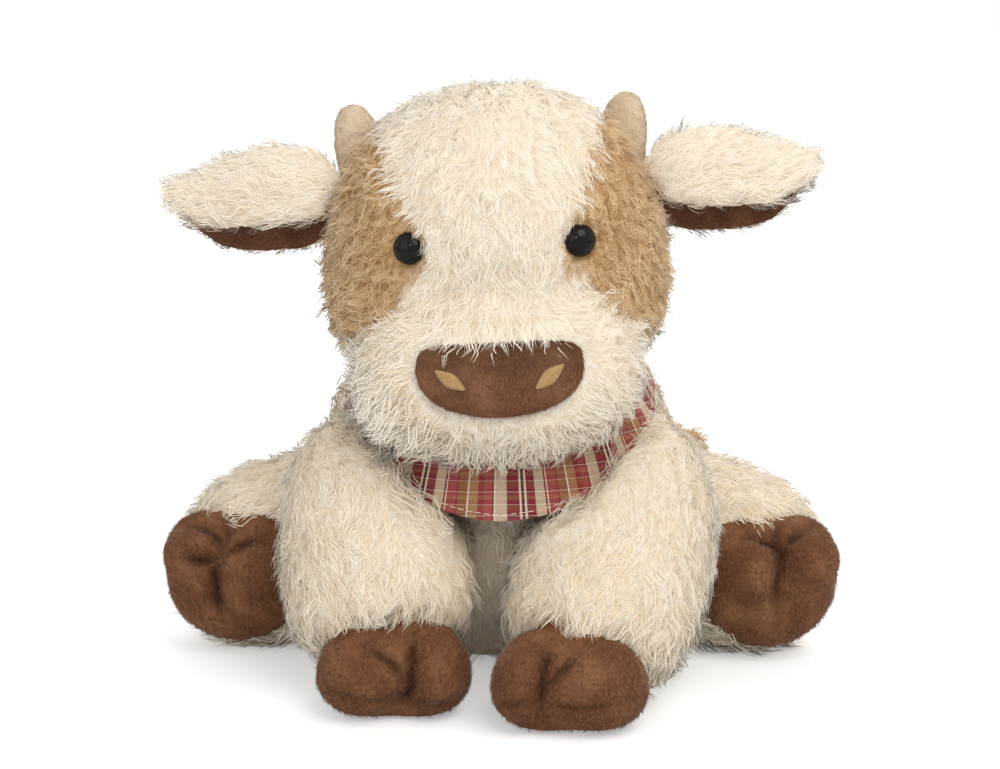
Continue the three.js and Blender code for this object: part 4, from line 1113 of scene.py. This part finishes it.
seam_width = 3 * MM
head_points = points_and_normals(head_form.data)[0]
from_cream, from_tan = (
    distances(head_points, search_tree(*(frame["nodes"][panel].data for panel in panels)))
    for panels in (cream_panels, tan_panels)
)
tan_share = np.clip(0.5 + (from_cream - from_tan) / seam_width, 0, 1)
store(head_form.data, "tan_share", tan_share)
print("tan share of the head", round(float(tan_share.mean()), 3))

# %% [markdown]
# ## Tufts of fur
# Long plush is bundles of fine fibres that cling to each other and wave. Blender's hair curves would
# be the usual way, but they leave no solid mesh behind. So ten tufts of each kind are made once, each
# of a few tapered strands that start apart and meet at their tips, and thousands of copies of them
# are set on the cloth, which is far lighter to build than strand by strand.

# %% Tuft shapes
root_depth = 0.6 * MM


def tuft(name, seed, strands, under, height, spread, width, bend, wave, turns, rings, material):
    """Closed, tapered strands that rise along +Z, lean to +X, wave together and meet at their tips.
    The ones under the rest are short, thick cones that fill the tuft."""
    dice = random.Random(seed)
    verts, faces, places = [], [], []
    phase, side_phase = dice.uniform(0, math.tau), dice.uniform(0, math.tau)
    for s in range(strands + under):
        below = s >= strands
        count = 1 if below else rings
        angle, out = dice.uniform(0, math.tau), spread * math.sqrt(dice.random())
        root = Vector((out * math.cos(angle), out * math.sin(angle), 0))
        gather = dice.uniform(0.15, 0.6)
        stray = Vector((dice.gauss(0, 1), dice.gauss(0, 1), 0)) * spread * 0.25
        reach = height * (dice.uniform(0.5, 0.8) if below else dice.uniform(0.75, 1.12))
        size = width * dice.uniform(0.75, 1.3) * (2 if below else 1)
        own = dice.uniform(0, math.tau)
        shade = dice.uniform(-0.22, 0.22)
        first = len(verts)
        for t in [i / count for i in range(count)] + [1]:
            curl = wave * height * min(1, 1.6 * t)
            turn = turns * math.tau * t + own * 0.1
            centre = Vector(
                (
                    bend * height * t * t + 0.6 * curl * math.cos(phase + turn),
                    curl * math.sin(side_phase + turn),
                    reach * t * (1 - 0.3 * bend * t) - root_depth,
                )
            )
            centre += root * (1 - t * (1 - gather)) + stray * t
            if t == 1:
                verts.append(centre)
                places.append((shade, 1.0))
                continue
            thick = size * (1 - 0.6 * t) * (0.8 + 0.4 * min(t * 4, 1))
            for corner in range(3):
                a = corner / 3 * math.tau + own
                verts.append(centre + Vector((math.cos(a) * thick * 0.7, math.sin(a) * thick, 0)))
                places.append((shade + 0.012 * (corner - 1), t))
        faces.append((first + 2, first + 1, first))
        for low in range(first, first + 3 * (count - 1), 3):
            for i in range(3):
                j = (i + 1) % 3
                faces.append((low + i, low + j, low + 3 + j, low + 3 + i))
        last = first + 3 * (count - 1)
        for i in range(3):
            faces.append((last + i, last + (i + 1) % 3, len(verts) - 1))
    mesh = bpy.data.meshes.new(name)
    mesh.from_pydata([tuple(v) for v in verts], [], faces)
    strand_map = mesh.uv_layers.new(name=STRAND_MAP)
    for loop in mesh.loops:
        strand_map.data[loop.index].uv = places[loop.vertex_index]
    mesh.materials.append(material)
    smooth_shaded(mesh)
    return bpy.data.objects.new(name, mesh)


tufts_in_a_set = 10
shape_labels = ("strands", "under", "height", "spread", "width", "bend", "wave", "turns", "rings", "material")
tuft_plan = {
    "long": (7, 3, 10 * MM, 2.5 * MM, 0.21 * MM, 0.35, 0.13, 1.0, 3, cream_fur),
    "curly": (6, 3, 10.5 * MM, 1.9 * MM, 0.24 * MM, 0.3, 0.2, 1.3, 4, tan_fur),
    "pile": (6, 0, 2.6 * MM, 1.15 * MM, 0.25 * MM, 0.3, 0.02, 0.3, 1, hoof_pile),
}
tuft_sets = {}
for kind, values in tuft_plan.items():
    tuft_sets[kind] = bpy.data.collections.new(kind + "_tufts")
    for i in range(tufts_in_a_set):
        shape = tuft(f"{kind}_tufts_{i}", 100 + i, **dict(zip(shape_labels, values)))
        tuft_sets[kind].objects.link(shape)

# %% [markdown]
# ## The fur tree
# Fur repeats one thing many thousand times, which is what Geometry Nodes are for. Points are
# scattered at even distances over the cloth. Each takes the direction in which the fur is combed
# there, leans a tuft that way, varies its size and stores how light it is. Strands that would reach
# through the floor are laid flat on it.

# %% The fur tree
fur = bpy.data.node_groups.new("fur", "GeometryNodeTree")
fur_sockets = {}
for label, kind in {
    "Cloth": "Geometry",
    "Tufts": "Collection",
    "Spacing": "Float",
    "Lean": "Float",
    "Stray": "Float",
    "Smallest": "Float",
    "Largest": "Float",
    "Floor": "Float",
    "Seed": "Int",
    "Fur material": "Material",
}.items():
    socket = fur.interface.new_socket(label, in_out="INPUT", socket_type="NodeSocket" + kind)
    fur_sockets[label] = socket.identifier
fur.interface.new_socket("Fur", in_out="OUTPUT", socket_type="NodeSocketGeometry")
fur_in, fur_out = fur.nodes.new("NodeGroupInput").outputs, fur.nodes.new("NodeGroupOutput")


def named(label, kind="FLOAT"):
    return node(fur, "GeometryNodeInputNamedAttribute", {"data_type": kind}, {"Name": label}).outputs["Attribute"]


def stored(geometry, label, value, kind="FLOAT", domain="INSTANCE"):
    values = {"Geometry": geometry, "Name": label, "Value": value}
    settings = {"data_type": kind, "domain": domain}
    return node(fur, "GeometryNodeStoreNamedAttribute", settings, values).outputs[0]


def vector_sum(first, second, factor):
    """first + second × factor."""
    factors = node(fur, "ShaderNodeCombineXYZ", values={"X": factor, "Y": factor, "Z": factor}).outputs[0]
    values = {0: second, 1: factors, 2: first}
    return node(fur, "ShaderNodeVectorMath", {"operation": "MULTIPLY_ADD"}, values).outputs[0]


def chance(kind, low, high, number):
    """A value between low and high that differs from tuft to tuft."""
    seed = calculated(fur, "ADD", fur_in["Seed"], float(number))
    values = {"Min": low, "Max": high, "Seed": seed}
    return node(fur, "FunctionNodeRandomValue", {"data_type": kind}, values).outputs["Value"]


def point_place():
    return node(fur, "GeometryNodeInputPosition").outputs[0]


grows = node(fur, "FunctionNodeCompare", {"operation": "GREATER_THAN"}, {0: named("fur"), 1: 0.5})
scatter = node(
    fur,
    "GeometryNodeDistributePointsOnFaces",
    {"distribute_method": "POISSON"},
    {
        "Mesh": fur_in["Cloth"],
        "Selection": grows.outputs[0],
        "Distance Min": fur_in["Spacing"],
        "Density Max": 4000000.0,
        "Seed": fur_in["Seed"],
    },
).outputs
wobble = chance("FLOAT_VECTOR", (-1, -1, -1), (1, 1, 1), 1)
combed = vector_sum(named("comb", "FLOAT_VECTOR"), wobble, fur_in["Stray"])
raised = vector_sum(scatter["Normal"], combed, fur_in["Lean"])
turned = node(
    fur,
    "FunctionNodeAxesToRotation",
    {"primary_axis": "Z", "secondary_axis": "X"},
    {"Primary Axis": raised, "Secondary Axis": combed},
)
size = chance("FLOAT", fur_in["Smallest"], fur_in["Largest"], 2)
tufts = node(
    fur,
    "GeometryNodeCollectionInfo",
    values={"Collection": fur_in["Tufts"], "Separate Children": True, "Reset Children": True},
)
planted = node(
    fur,
    "GeometryNodeInstanceOnPoints",
    values={
        "Points": scatter["Points"],
        "Instance": tufts.outputs[0],
        "Pick Instance": True,
        "Instance Index": chance("INT", 0, tufts_in_a_set - 1, 3),
        "Rotation": turned.outputs[0],
        "Scale": calculated(fur, "MULTIPLY", size, named("length")),
    },
)
patches = speckles(fur, point_place(), 45.0)
varied = calculated(fur, "ADD", patches, chance("FLOAT", -0.2, 0.2, 4))
# The cloth's painted shade and highlight is added to how light each tuft is
shaded = stored(planted.outputs[0], "shade", calculated(fur, "ADD", varied, named("tone")))
# The cloth's own normal goes along, so that the strands can be shaded as one soft surface
laid_on = stored(shaded, "cloth_normal", scatter["Normal"], "FLOAT_VECTOR")
realised = node(fur, "GeometryNodeRealizeInstances", values={"Geometry": laid_on}).outputs[0]
strand_place = node(fur, "ShaderNodeSeparateXYZ", values={"Vector": named(STRAND_MAP, "FLOAT_VECTOR")}).outputs
strand_shade = calculated(fur, "ADD", strand_place["X"], named("shade"), clamped=True)
strand_map = node(fur, "ShaderNodeCombineXYZ", values={"X": strand_shade, "Y": strand_place["Y"]}).outputs[0]
on_the_map = stored(realised, STRAND_MAP, strand_map, "FLOAT2", "CORNER")
here = node(fur, "ShaderNodeSeparateXYZ", values={"Vector": point_place()}).outputs
above = calculated(fur, "MAXIMUM", here["Z"], fur_in["Floor"])
laid = node(fur, "ShaderNodeCombineXYZ", values={"X": here["X"], "Y": here["Y"], "Z": above})
pressed = node(fur, "GeometryNodeSetPosition", values={"Geometry": on_the_map, "Position": laid.outputs[0]})
coloured = node(
    fur, "GeometryNodeSetMaterial", values={"Geometry": pressed.outputs[0], "Material": fur_in["Fur material"]}
)
put(fur_out, {0: coloured.outputs[0]})
print("the fur tree has", len(fur.nodes), "nodes")

# %% [markdown]
# ## How the fur is combed
# A maker brushes plush while it is finished, so every patch of fur has a direction. Guide hairs
# could be drawn by hand, but a rule for each patch is shorter and follows the form when it changes.
# A slow noise turns the fur a little, which makes the locks part and meet. Where two pieces touch,
# no fur grows. Light passes through fine fibres, so the strands cast no shadows on each other, and
# they take most of their shading from the cloth below.

# %% How the fur is combed
rough = 1.0
fur_floor = 0.3 * MM
cloth_shading = 0.85
working_attributes = ("shade", "comb", "length", "fur", "tone", "cloth_normal", "tan_share")
fur_kinds = {
    # kind: (tufts, material, slot)
    "cream": ("long", cream_fur, "cream_fur"),
    "tan": ("curly", tan_fur, "tan_fur"),
    "brown pile": ("pile", brown_strands, "brown_pile"),
    "horn pile": ("pile", beige_strands, "horn_pile"),
}


def unit(vectors):
    return vectors / np.maximum(np.linalg.norm(vectors, axis=1), 1e-9)[:, None]


def prepared_cloth(form, name, comb, grows, length, clear_of, clearance, swirls):
    """A copy of a form with the attributes that the fur tree reads."""
    mesh = form.data.copy()
    points, normals = points_and_normals(mesh)
    allowed = grows(points, normals) if grows else np.ones(len(points))
    for solid in clear_of:
        allowed = allowed * (distances(points, trees[solid]) > clearance)
    direction = comb(points, normals) if callable(comb) else np.tile(np.array(comb, float), (len(points), 1))
    scale, strength = swirls
    direction = unit(direction) + np.array([noise.noise_vector(Vector(p) * scale) for p in points]) * strength
    direction -= (direction * normals).sum(1)[:, None] * normals
    # Cloth with no painted shade or highlight gets zero
    if "tone" not in mesh.attributes:
        store(mesh, "tone", np.zeros(len(points)))
    store(mesh, "fur", allowed)
    store(mesh, "length", length(points, normals) if callable(length) else np.full(len(points), length))
    store(mesh, "comb", unit(direction), "FLOAT_VECTOR")
    return linked(name, mesh)


def furred(
    form, name, body, kind, seed, spacing, lean, stray, sizes, comb,
    grows=None, length=1.0, clear_of=(), clearance=0.0, swirls=(60, 0.75), soft_shadow=True,
):
    """Grows fur on a form and keeps it as a mesh of its own. comb and length are values or functions of
    the points, and grows says where the fur stands."""
    cloth = prepared_cloth(form, name, comb, grows, length, clear_of, clearance, swirls)
    tufts, material, slot = fur_kinds[kind]
    modifier = cloth.modifiers.new("fur", "NODES")
    modifier.node_group = fur
    for label, value in {
        "Tufts": tuft_sets[tufts],
        "Spacing": spacing * MM * rough,
        "Lean": lean,
        "Stray": stray,
        "Smallest": sizes[0],
        "Largest": sizes[1],
        "Floor": fur_floor,
        "Seed": seed,
        "Fur material": material,
    }.items():
        modifier[fur_sockets[label]] = value
    scene_state = bpy.context.evaluated_depsgraph_get()
    mesh = bpy.data.meshes.new_from_object(
        cloth.evaluated_get(scene_state), preserve_all_data_layers=True, depsgraph=scene_state
    )
    bpy.data.objects.remove(cloth)
    mesh.name = name
    cloth_normals = np.empty(len(mesh.vertices) * 3)
    mesh.attributes["cloth_normal"].data.foreach_get("vector", cloth_normals)
    for label in [a.name for a in mesh.attributes if a.name in working_attributes]:
        mesh.attributes.remove(mesh.attributes[label])
    own_normals = points_and_normals(mesh)[1]
    soft = cloth_shading * cloth_normals.reshape(-1, 3) + (1 - cloth_shading) * own_normals
    mesh.normals_split_custom_set_from_vertices(unit(soft).tolist())
    piece = linked(name, mesh)
    piece.visible_shadow = not soft_shadow
    hang(piece, body, slot)
    mesh.calc_loop_triangles()
    print(name, len(mesh.loop_triangles), "triangles")


def short_by(points, solid, least, full_at):
    """A length that grows from least beside the solid to 1 at full_at from it."""
    return np.clip(least + (1 - least) * distances(points, trees[solid]) / full_at, 0, 1)


def free_outwards(solid, start_mm, reach):
    """A test for points that have no part of the solid straight outwards of them."""

    def test(points, normals):
        hits = []
        for p, n in zip(points, normals):
            hits.append(trees[solid].ray_cast(Vector(p) + Vector(n) * start_mm * MM, Vector(n), reach)[0])
        return np.array([hit is None for hit in hits])

    return test


print("kinds of fur", list(fur_kinds))

# %% [markdown]
# ## Fur on the trunk
# The body's fur hangs down and a little outwards, as on any sitting animal. One coat over the whole
# trunk would be too large a mesh, so it is split in a front and a back half. It is short beside the
# kerchief, the legs and the head, which press on it.

# %% Fur on the trunk
def trunk_comb(points, normals):
    return np.array((0, 0, -1.0)) + unit(points * (1, 1, 0)) * 0.25


def trunk_length(points, normals):
    length = np.where(points[:, 2] < 6 * MM, 0.7, 1.0) * short_by(points, "bandana", 0.4, 14 * MM)
    for solid in [leg + "_skin" for leg in leg_names] + head_panels:
        length *= short_by(points, solid, 0.55, 12 * MM)
    return length


def trunk_half(is_front):
    def test(points, normals):
        in_half = (points[:, 1] < 12 * MM) == is_front
        return in_half & ((normals[:, 2] > -0.75) | (points[:, 2] > 6 * MM))

    return test


for half, spacing in (("front", 3.9), ("back", 4.4)):
    furred(
        trunk_form, "trunk_fur_" + half, "trunk", "cream", 3, spacing, 1.5, 0.5, (0.85, 1.2), trunk_comb,
        grows=trunk_half(half == "front"),
        length=trunk_length,
        clear_of=[leg + "_skin" for leg in leg_names] + head_panels + ["bandana", "bandana_knot", "tail_strip"],
        clearance=2.4 * MM,
        soft_shadow=half == "back",
    )

# %% [markdown]
# ## Fur on the legs
# It runs from the shoulder or hip to the hoof. Combed straight down it would leave a bare step at
# the hem of the kerchief and a hard line at the floor, so it turns up and over the hem, spreads
# outwards on the floor, and is a little longer at the edge of the hoof, which it half covers.

# %% Fur on the legs
leg_runs = {
    "front_leg_left": ((47, -12, 98), (27, -80, 8)),
    "front_leg_right": ((-47, -12, 98), (-42, -66, 8)),
    "hind_leg_left": ((38, 26, 42), (112, -18, 20)),
    "hind_leg_right": ((-38, 26, 42), (-112, -18, 20)),
}


def near_floor(points):
    return np.clip(1 - points[:, 2] / (38 * MM), 0, 1)


def beside_kerchief(points):
    """1 right beside the cloth where its hem rises at the sides, and 0 from 12 mm away."""
    near = np.clip(1 - distances(points, trees["bandana"]) / (12 * MM), 0, 1)
    return near * np.clip((np.abs(points[:, 0]) - 14 * MM) / (10 * MM), 0, 1)


def leg_comb(leg):
    run = np.array(leg_runs[leg][1], float) - np.array(leg_runs[leg][0], float)
    run /= np.linalg.norm(run)
    outward = 1 if leg.endswith("left") else -1

    def comb(points, normals):
        low = near_floor(points) * np.clip(normals[:, 0] * outward, 0, 1)
        direction = run + low[:, None] * (2.5 * outward, 0, 0.3)
        return direction + 7 * beside_kerchief(points)[:, None] * (0, -0.2, 1)

    return comb


def leg_length(leg):
    def length(points, normals):
        over = np.where(points[:, 0] < 0, 1.7, 1.35) * np.clip(beside_kerchief(points) * 2, 0, 1)
        by_cloth = np.maximum(short_by(points, "bandana", 0.3, 16 * MM), over)
        low = 1 + 0.4 * near_floor(points)
        edge = 1 + 0.25 * np.clip(1 - distances(points, trees[leg + "_hoof"]) / (12 * MM), 0, 1)
        return by_cloth * np.where(normals[:, 2] > 0, np.maximum(low, edge), low)

    return length


def on_the_skin(leg):
    def test(points, normals):
        near_skin = distances(points, trees[leg + "_skin"]) < 5 * MM
        return near_skin & (distances(points, trees[leg + "_hoof"]) > 0.4 * MM)

    return test


for i, leg in enumerate(leg_names):
    spacing = 3.45 if leg.startswith("front") else 3.75
    furred(
        leg_forms[leg], leg + "_fur", leg, "cream", 20 + i, spacing, 1.4, 0.5, (0.85, 1.2), leg_comb(leg),
        grows=on_the_skin(leg), length=leg_length(leg), clear_of=["body_skin", "bandana"], clearance=1.6 * MM,
    )

# %% [markdown]
# ## Fur on the head
# The muzzle's fur parts over the nose and fans out, a denser fringe hangs over the nose's upper
# edge, the forehead's runs down from the crown, and the tan patches are curlier. One coat in two
# colours would give speckled borders, so each panel has its own coat, combed away from the eyes.

# %% Fur on the head
nose_centre = node_points("nose_patch").mean(0)
nose_top = node_points("nose_patch")[:, 2].max()
crown = np.array((0, 5, 240.0)) * MM
off_the_nose = free_outwards("nose_patch", -4, 12 * MM)
on_the_head = ["eye_left", "eye_right", *horn_solids, "ear_skin_left", "ear_skin_right", "body_skin"]


def on_panels(*wanted):
    """A test for points that lie nearer to the wanted panels than to the other ones."""

    def test(points, normals):
        far = np.array([distances(points, trees[panel]) for panel in head_panels])
        return np.isin(far.argmin(0), [head_panels.index(panel) for panel in wanted])

    return test


def muzzle_comb(points, normals):
    """Down and outwards from a parting over the nose, and straight out below it."""
    out = (points - nose_centre) / (30 * MM)
    out[:, 1] *= 0.4
    middle = np.clip((34 * MM - np.abs(points[:, 0] - nose_centre[0])) / (12 * MM), 0.1, 1)
    out[:, 2] = np.where(out[:, 2] > 0, -0.95 * middle, -0.75 + out[:, 2])
    return out


def muzzle_length(points, normals):
    """Full length above the nose, shorter at its sides and below, and long on the right cheek."""
    beside = short_by(points, "nose_patch", 0.6, 10 * MM)
    cheek = 1 + 0.6 * np.clip((-points[:, 0] - 22 * MM) / (14 * MM), 0, 1) * (points[:, 2] < 140 * MM)
    return np.where(points[:, 2] > nose_top - 4 * MM, 1.0, beside) * cheek


def over_the_nose(points, normals):
    height = points[:, 2] - nose_top
    near = (height > -3 * MM) & (height < 7 * MM) & (distances(points, trees["nose_patch"]) < 8 * MM)
    return near & (np.abs(points[:, 0] - nose_centre[0]) < 22 * MM) & off_the_nose(points, normals)


def fringe_comb(points, normals):
    return np.stack([points[:, 0] / (60 * MM), np.full(len(points), -0.2), np.full(len(points), -1.0)], 1)


def blaze_comb(points, normals):
    out = points - crown
    out /= np.linalg.norm(out, axis=1)[:, None]
    out[:, 0] += points[:, 0] / (45 * MM)
    out[:, 2] -= 0.3
    return out


def tan_comb(points, normals):
    """Down from the crown, and next to an eye away from it."""
    direction = (points - crown) * (1.6, 0.6, 1) / (100 * MM) + np.array((0, 0, -0.25))
    for centre in eye_centres.values():
        away = points - np.array(centre)
        far = np.linalg.norm(away, axis=1)
        direction = direction + away / far[:, None] * np.exp(-np.clip(far - 6 * MM, 0, 1) / (3 * MM))[:, None]
    return direction


def face_length(points, normals):
    far = np.min([np.linalg.norm(points - np.array(c), axis=1) for c in eye_centres.values()], axis=0)
    return 0.5 + 0.5 * np.clip((far - 6 * MM) / (14 * MM), 0, 1)


def on_the_muzzle(points, normals):
    return on_panels("head_muzzle_panel")(points, normals) & off_the_nose(points, normals)


furred(
    head_form, "muzzle_fur", "head", "cream", 31, 2.9, 1.4, 0.5, (0.8, 1.15), muzzle_comb,
    grows=on_the_muzzle, length=muzzle_length, clear_of=["nose_patch"], clearance=1.8 * MM,
)
furred(
    head_form, "nose_fringe", "head", "cream", 34, 2.1, 1.1, 0.2, (0.8, 1.15), fringe_comb,
    grows=over_the_nose, length=1.25, swirls=(90, 0.2),
)
furred(
    head_form, "forehead_fur", "head", "cream", 32, 3.65, 1.3, 0.5, (0.85, 1.2), blaze_comb,
    grows=on_panels("head_blaze_panel"), length=face_length, clear_of=on_the_head, clearance=0.5 * MM,
)
for side in sides:
    furred(
        head_form, "tan_patch_fur_" + side, "head", "tan", 33, 3.2, 1.0, 0.7, (0.8, 1.15), tan_comb,
        grows=on_panels("head_side_panel_" + side), length=face_length, clear_of=on_the_head,
        clearance=0.5 * MM, swirls=(60, 0.8),
    )

# %% [markdown]
# ## Fur on the ears and the tail
# An ear's outside has the body's fur, combed out to its tip, and ends in a short edge beside the
# lining, where the seam pulls it in. Left at full length there it would hide the lining. The tail is
# a narrow strip of short fur with a curly tan tuft at its end.

# %% Fur on the ears and the tail
outward_sign = {"left": 1, "right": -1}


def ear_length(side):
    return lambda points, normals: short_by(points, "ear_lining_" + side, 0.3, 6 * MM)


for side in sides:
    furred(
        ear_forms[side], "ear_fur_" + side, "ear_" + side, "cream", 41, 3.0, 1.0, 0.42, (0.85, 1.25),
        (outward_sign[side], -0.05, 0.25),
        grows=free_outwards("ear_lining_" + side, 0.05, 5 * MM), length=ear_length(side),
        clear_of=["ear_lining_" + side, "head_side_panel_" + side], clearance=1.6 * MM,
    )
furred(
    tail_strip_form, "tail_fur", "tail", "cream", 51, 2.3, 1.2, 0.3, (0.8, 1.1), (1, 0, 0.3),
    length=0.55, clear_of=["tail_tuft", "body_skin"], clearance=0.6 * MM,
)
furred(
    tail_tuft_form, "tail_tuft_fur", "tail", "tan", 52, 2.7, 0.9, 0.5, (0.8, 1.15), (1, -0.1, -0.1),
    length=0.9, clear_of=["tail_strip"], clearance=0.6 * MM, swirls=(60, 0.9),
)

# %% [markdown]
# ## Short pile on hooves, nose, linings and horns
# Velboa has real fibres too, only 2 mm long. A bump alone would leave a smooth outline, so the same
# tree sets small brushes of them. Painted shade darkens them in the folds and a painted highlight
# lightens them on the rolls, which gives the toes their soft, deep look, and on the nose painted
# shade darkens them under the fringe.

# %% Short pile
def outer_wall(filling):
    """A test for points of a cover that don't look inwards at its filling."""

    def test(points, normals):
        outside = []
        for p, n in zip(points, normals):
            hit, hit_normal = trees[filling].ray_cast(Vector(p - n * MM), Vector(n), 6 * MM)[:2]
            outside.append(hit is None or hit_normal.dot(Vector(n)) > 0)
        return np.array(outside) & ((normals[:, 2] > -0.9) | (points[:, 2] > 3 * MM))

    return test


for i, leg in enumerate(leg_names):
    furred(
        hoof_forms[leg], leg + "_hoof_strands", leg, "brown pile", 60 + i, 1.85, 0.8, 0.4, (0.8, 1.2), (0, 0.1, -1),
        grows=outer_wall(leg + "_stuffing"), clear_of=[leg + "_skin"], clearance=0.8 * MM, swirls=(90, 1.2),
    )
nose_heights = points_and_normals(nose_form.data)[0][:, 2] - nose_centre[2]
# Painted shade: the nose's pile darkens towards its top, under the fringe, and lightens a little at the bottom
store(nose_form.data, "tone", -0.4 * np.clip(nose_heights / (14 * MM), -0.15, 1))
furred(
    nose_form, "nose_strands", "head", "brown pile", 70, 1.35, 0.9, 0.3, (0.8, 1.2), (0, 0, -1),
    grows=lambda points, normals: normals[:, 1] < 0.1, length=0.75,
    clear_of=["nostril_left", "nostril_right"], clearance=0.4 * MM, swirls=(60, 0.3),
)
for side in sides:
    furred(
        lining_forms[side], "ear_lining_strands_" + side, "ear_" + side, "brown pile", 72, 1.6, 0.8, 0.4, (0.8, 1.2),
        (outward_sign[side], 0, -0.3),
        grows=free_outwards("ear_skin_" + side, 0.05, 1.5 * MM), length=0.8, swirls=(60, 0.5),
    )
    furred(
        horn_forms[side], "horn_strands_" + side, "head", "horn pile", 74, 1.35, 0.8, 0.4, (0.8, 1.2), (0, 0, -1),
        length=0.8, clear_of=["head_blaze_panel"], clearance=0.5 * MM, swirls=(90, 0.8),
    )

# %% [markdown]
# ## Finish
# The loose tufts were only patterns, like a tailor's, and aren't part of the toy. They could be
# hidden, but an export might still find them, so they are removed. Then each shown piece's triangles are worked out.

# %% Finish
for group in tuft_sets.values():
    for shape in list(group.objects):
        bpy.data.objects.remove(shape)
    bpy.data.collections.remove(group)
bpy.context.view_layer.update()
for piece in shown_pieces():
    piece.data.calc_loop_triangles()
